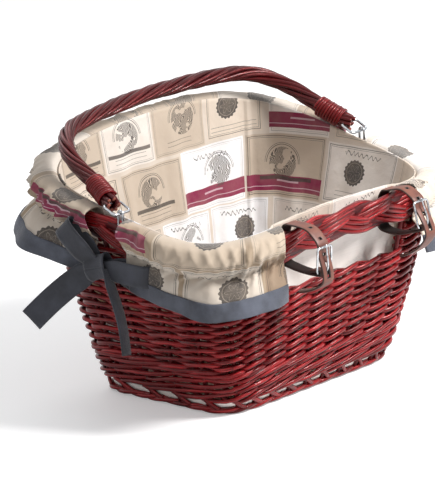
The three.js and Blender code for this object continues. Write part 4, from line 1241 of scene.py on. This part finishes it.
def lamp(name, azimuth, elevation, size, power, colour):
    light = bpy.data.lights.new(name, "AREA")
    light.size = size
    light.energy = power
    light.color = colour
    thing = bpy.data.objects.new(name, light)
    at = level_direction(math.radians(azimuth), math.radians(elevation)) * 1.9
    thing.location = at + Vector((0, 0, 0.12))
    thing.rotation_euler = at.to_track_quat("Z", "Y").to_euler()
    bpy.context.scene.collection.objects.link(thing)


def studio():
    """Floor that keeps the shadow, white background for the camera and grey light round the object."""
    half = 4000.0
    x, y = np.meshgrid(np.linspace(-half, half, 5), np.linspace(-half, half, 5), indexing="ij")
    floor = Mesh()
    floor.grid(vectors(x, y, -0.4))
    material, n, shader = new_material("floor")
    glow = n.add("ShaderNodeLightPath") * 0.3
    n.put(shader, {"Base Color": (0.86, 0.86, 0.86, 1), "Roughness": 0.9,
                   "Emission Color": (1, 1, 1, 1), "Emission Strength": glow})
    floor.build("floor", material, smooth=False)
    world = bpy.data.worlds.new("studio")
    bpy.context.scene.world = world
    world.use_nodes = True
    n = Nodes(world.node_tree)
    camera_ray = n.add("ShaderNodeLightPath")
    seen = n.math("MAXIMUM", camera_ray.other("Is Glossy Ray"), camera_ray.other("Is Transmission Ray"))
    seen = n.math("MAXIMUM", camera_ray, seen)
    n.put(world.node_tree.nodes["Background"], {"Color": n.mix(seen, (0.62, 0.63, 0.65, 1), (1, 1, 1, 1)),
                                                "Strength": n.span(seen, 0.0, 1.0, 0.56, 1.0)})
    lamp("key", 24, 44, 0.55, 54, (1.0, 0.99, 0.98))
    lamp("fill", -100, 30, 1.6, 2.5, (0.97, 0.98, 1.0))
    lamp("back", 165, 55, 1.2, 12, (1, 1, 1))


def camera():
    """Camera fitted to the photograph: 8103 px focal length, 48.3 degrees left, 16.3 up, 2.1 roll."""
    azimuth, elevation, roll = (math.radians(v) for v in (-48.33, 16.28, 2.09))
    focal, distance, picture_width, film = 8103.0, 8.667, 435, 36.0
    shift_x, shift_y = 13.75, 14.79  # pixels
    target = Vector((0, 0.0175, 0.120))
    right = Vector((math.cos(azimuth), math.sin(azimuth), 0))
    back = level_direction(azimuth, elevation)
    up = back.cross(right)
    across = math.cos(roll) * right - math.sin(roll) * up
    above = math.sin(roll) * right + math.cos(roll) * up
    pixel = distance / focal
    data = bpy.data.cameras.new("camera")
    data.sensor_fit = "HORIZONTAL"
    data.sensor_width = film
    data.lens = focal * film / picture_width
    data.clip_end = 60
    thing = bpy.data.objects.new("camera", data)
    matrix = Matrix((across, above, back)).transposed().to_4x4()
    matrix.translation = target + distance * back - across * (shift_x * pixel) + above * (shift_y * pixel)
    thing.matrix_world = matrix
    bpy.context.scene.collection.objects.link(thing)
    bpy.context.scene.camera = thing


studio()
camera()
bpy.context.scene.view_settings.view_transform = "Standard"
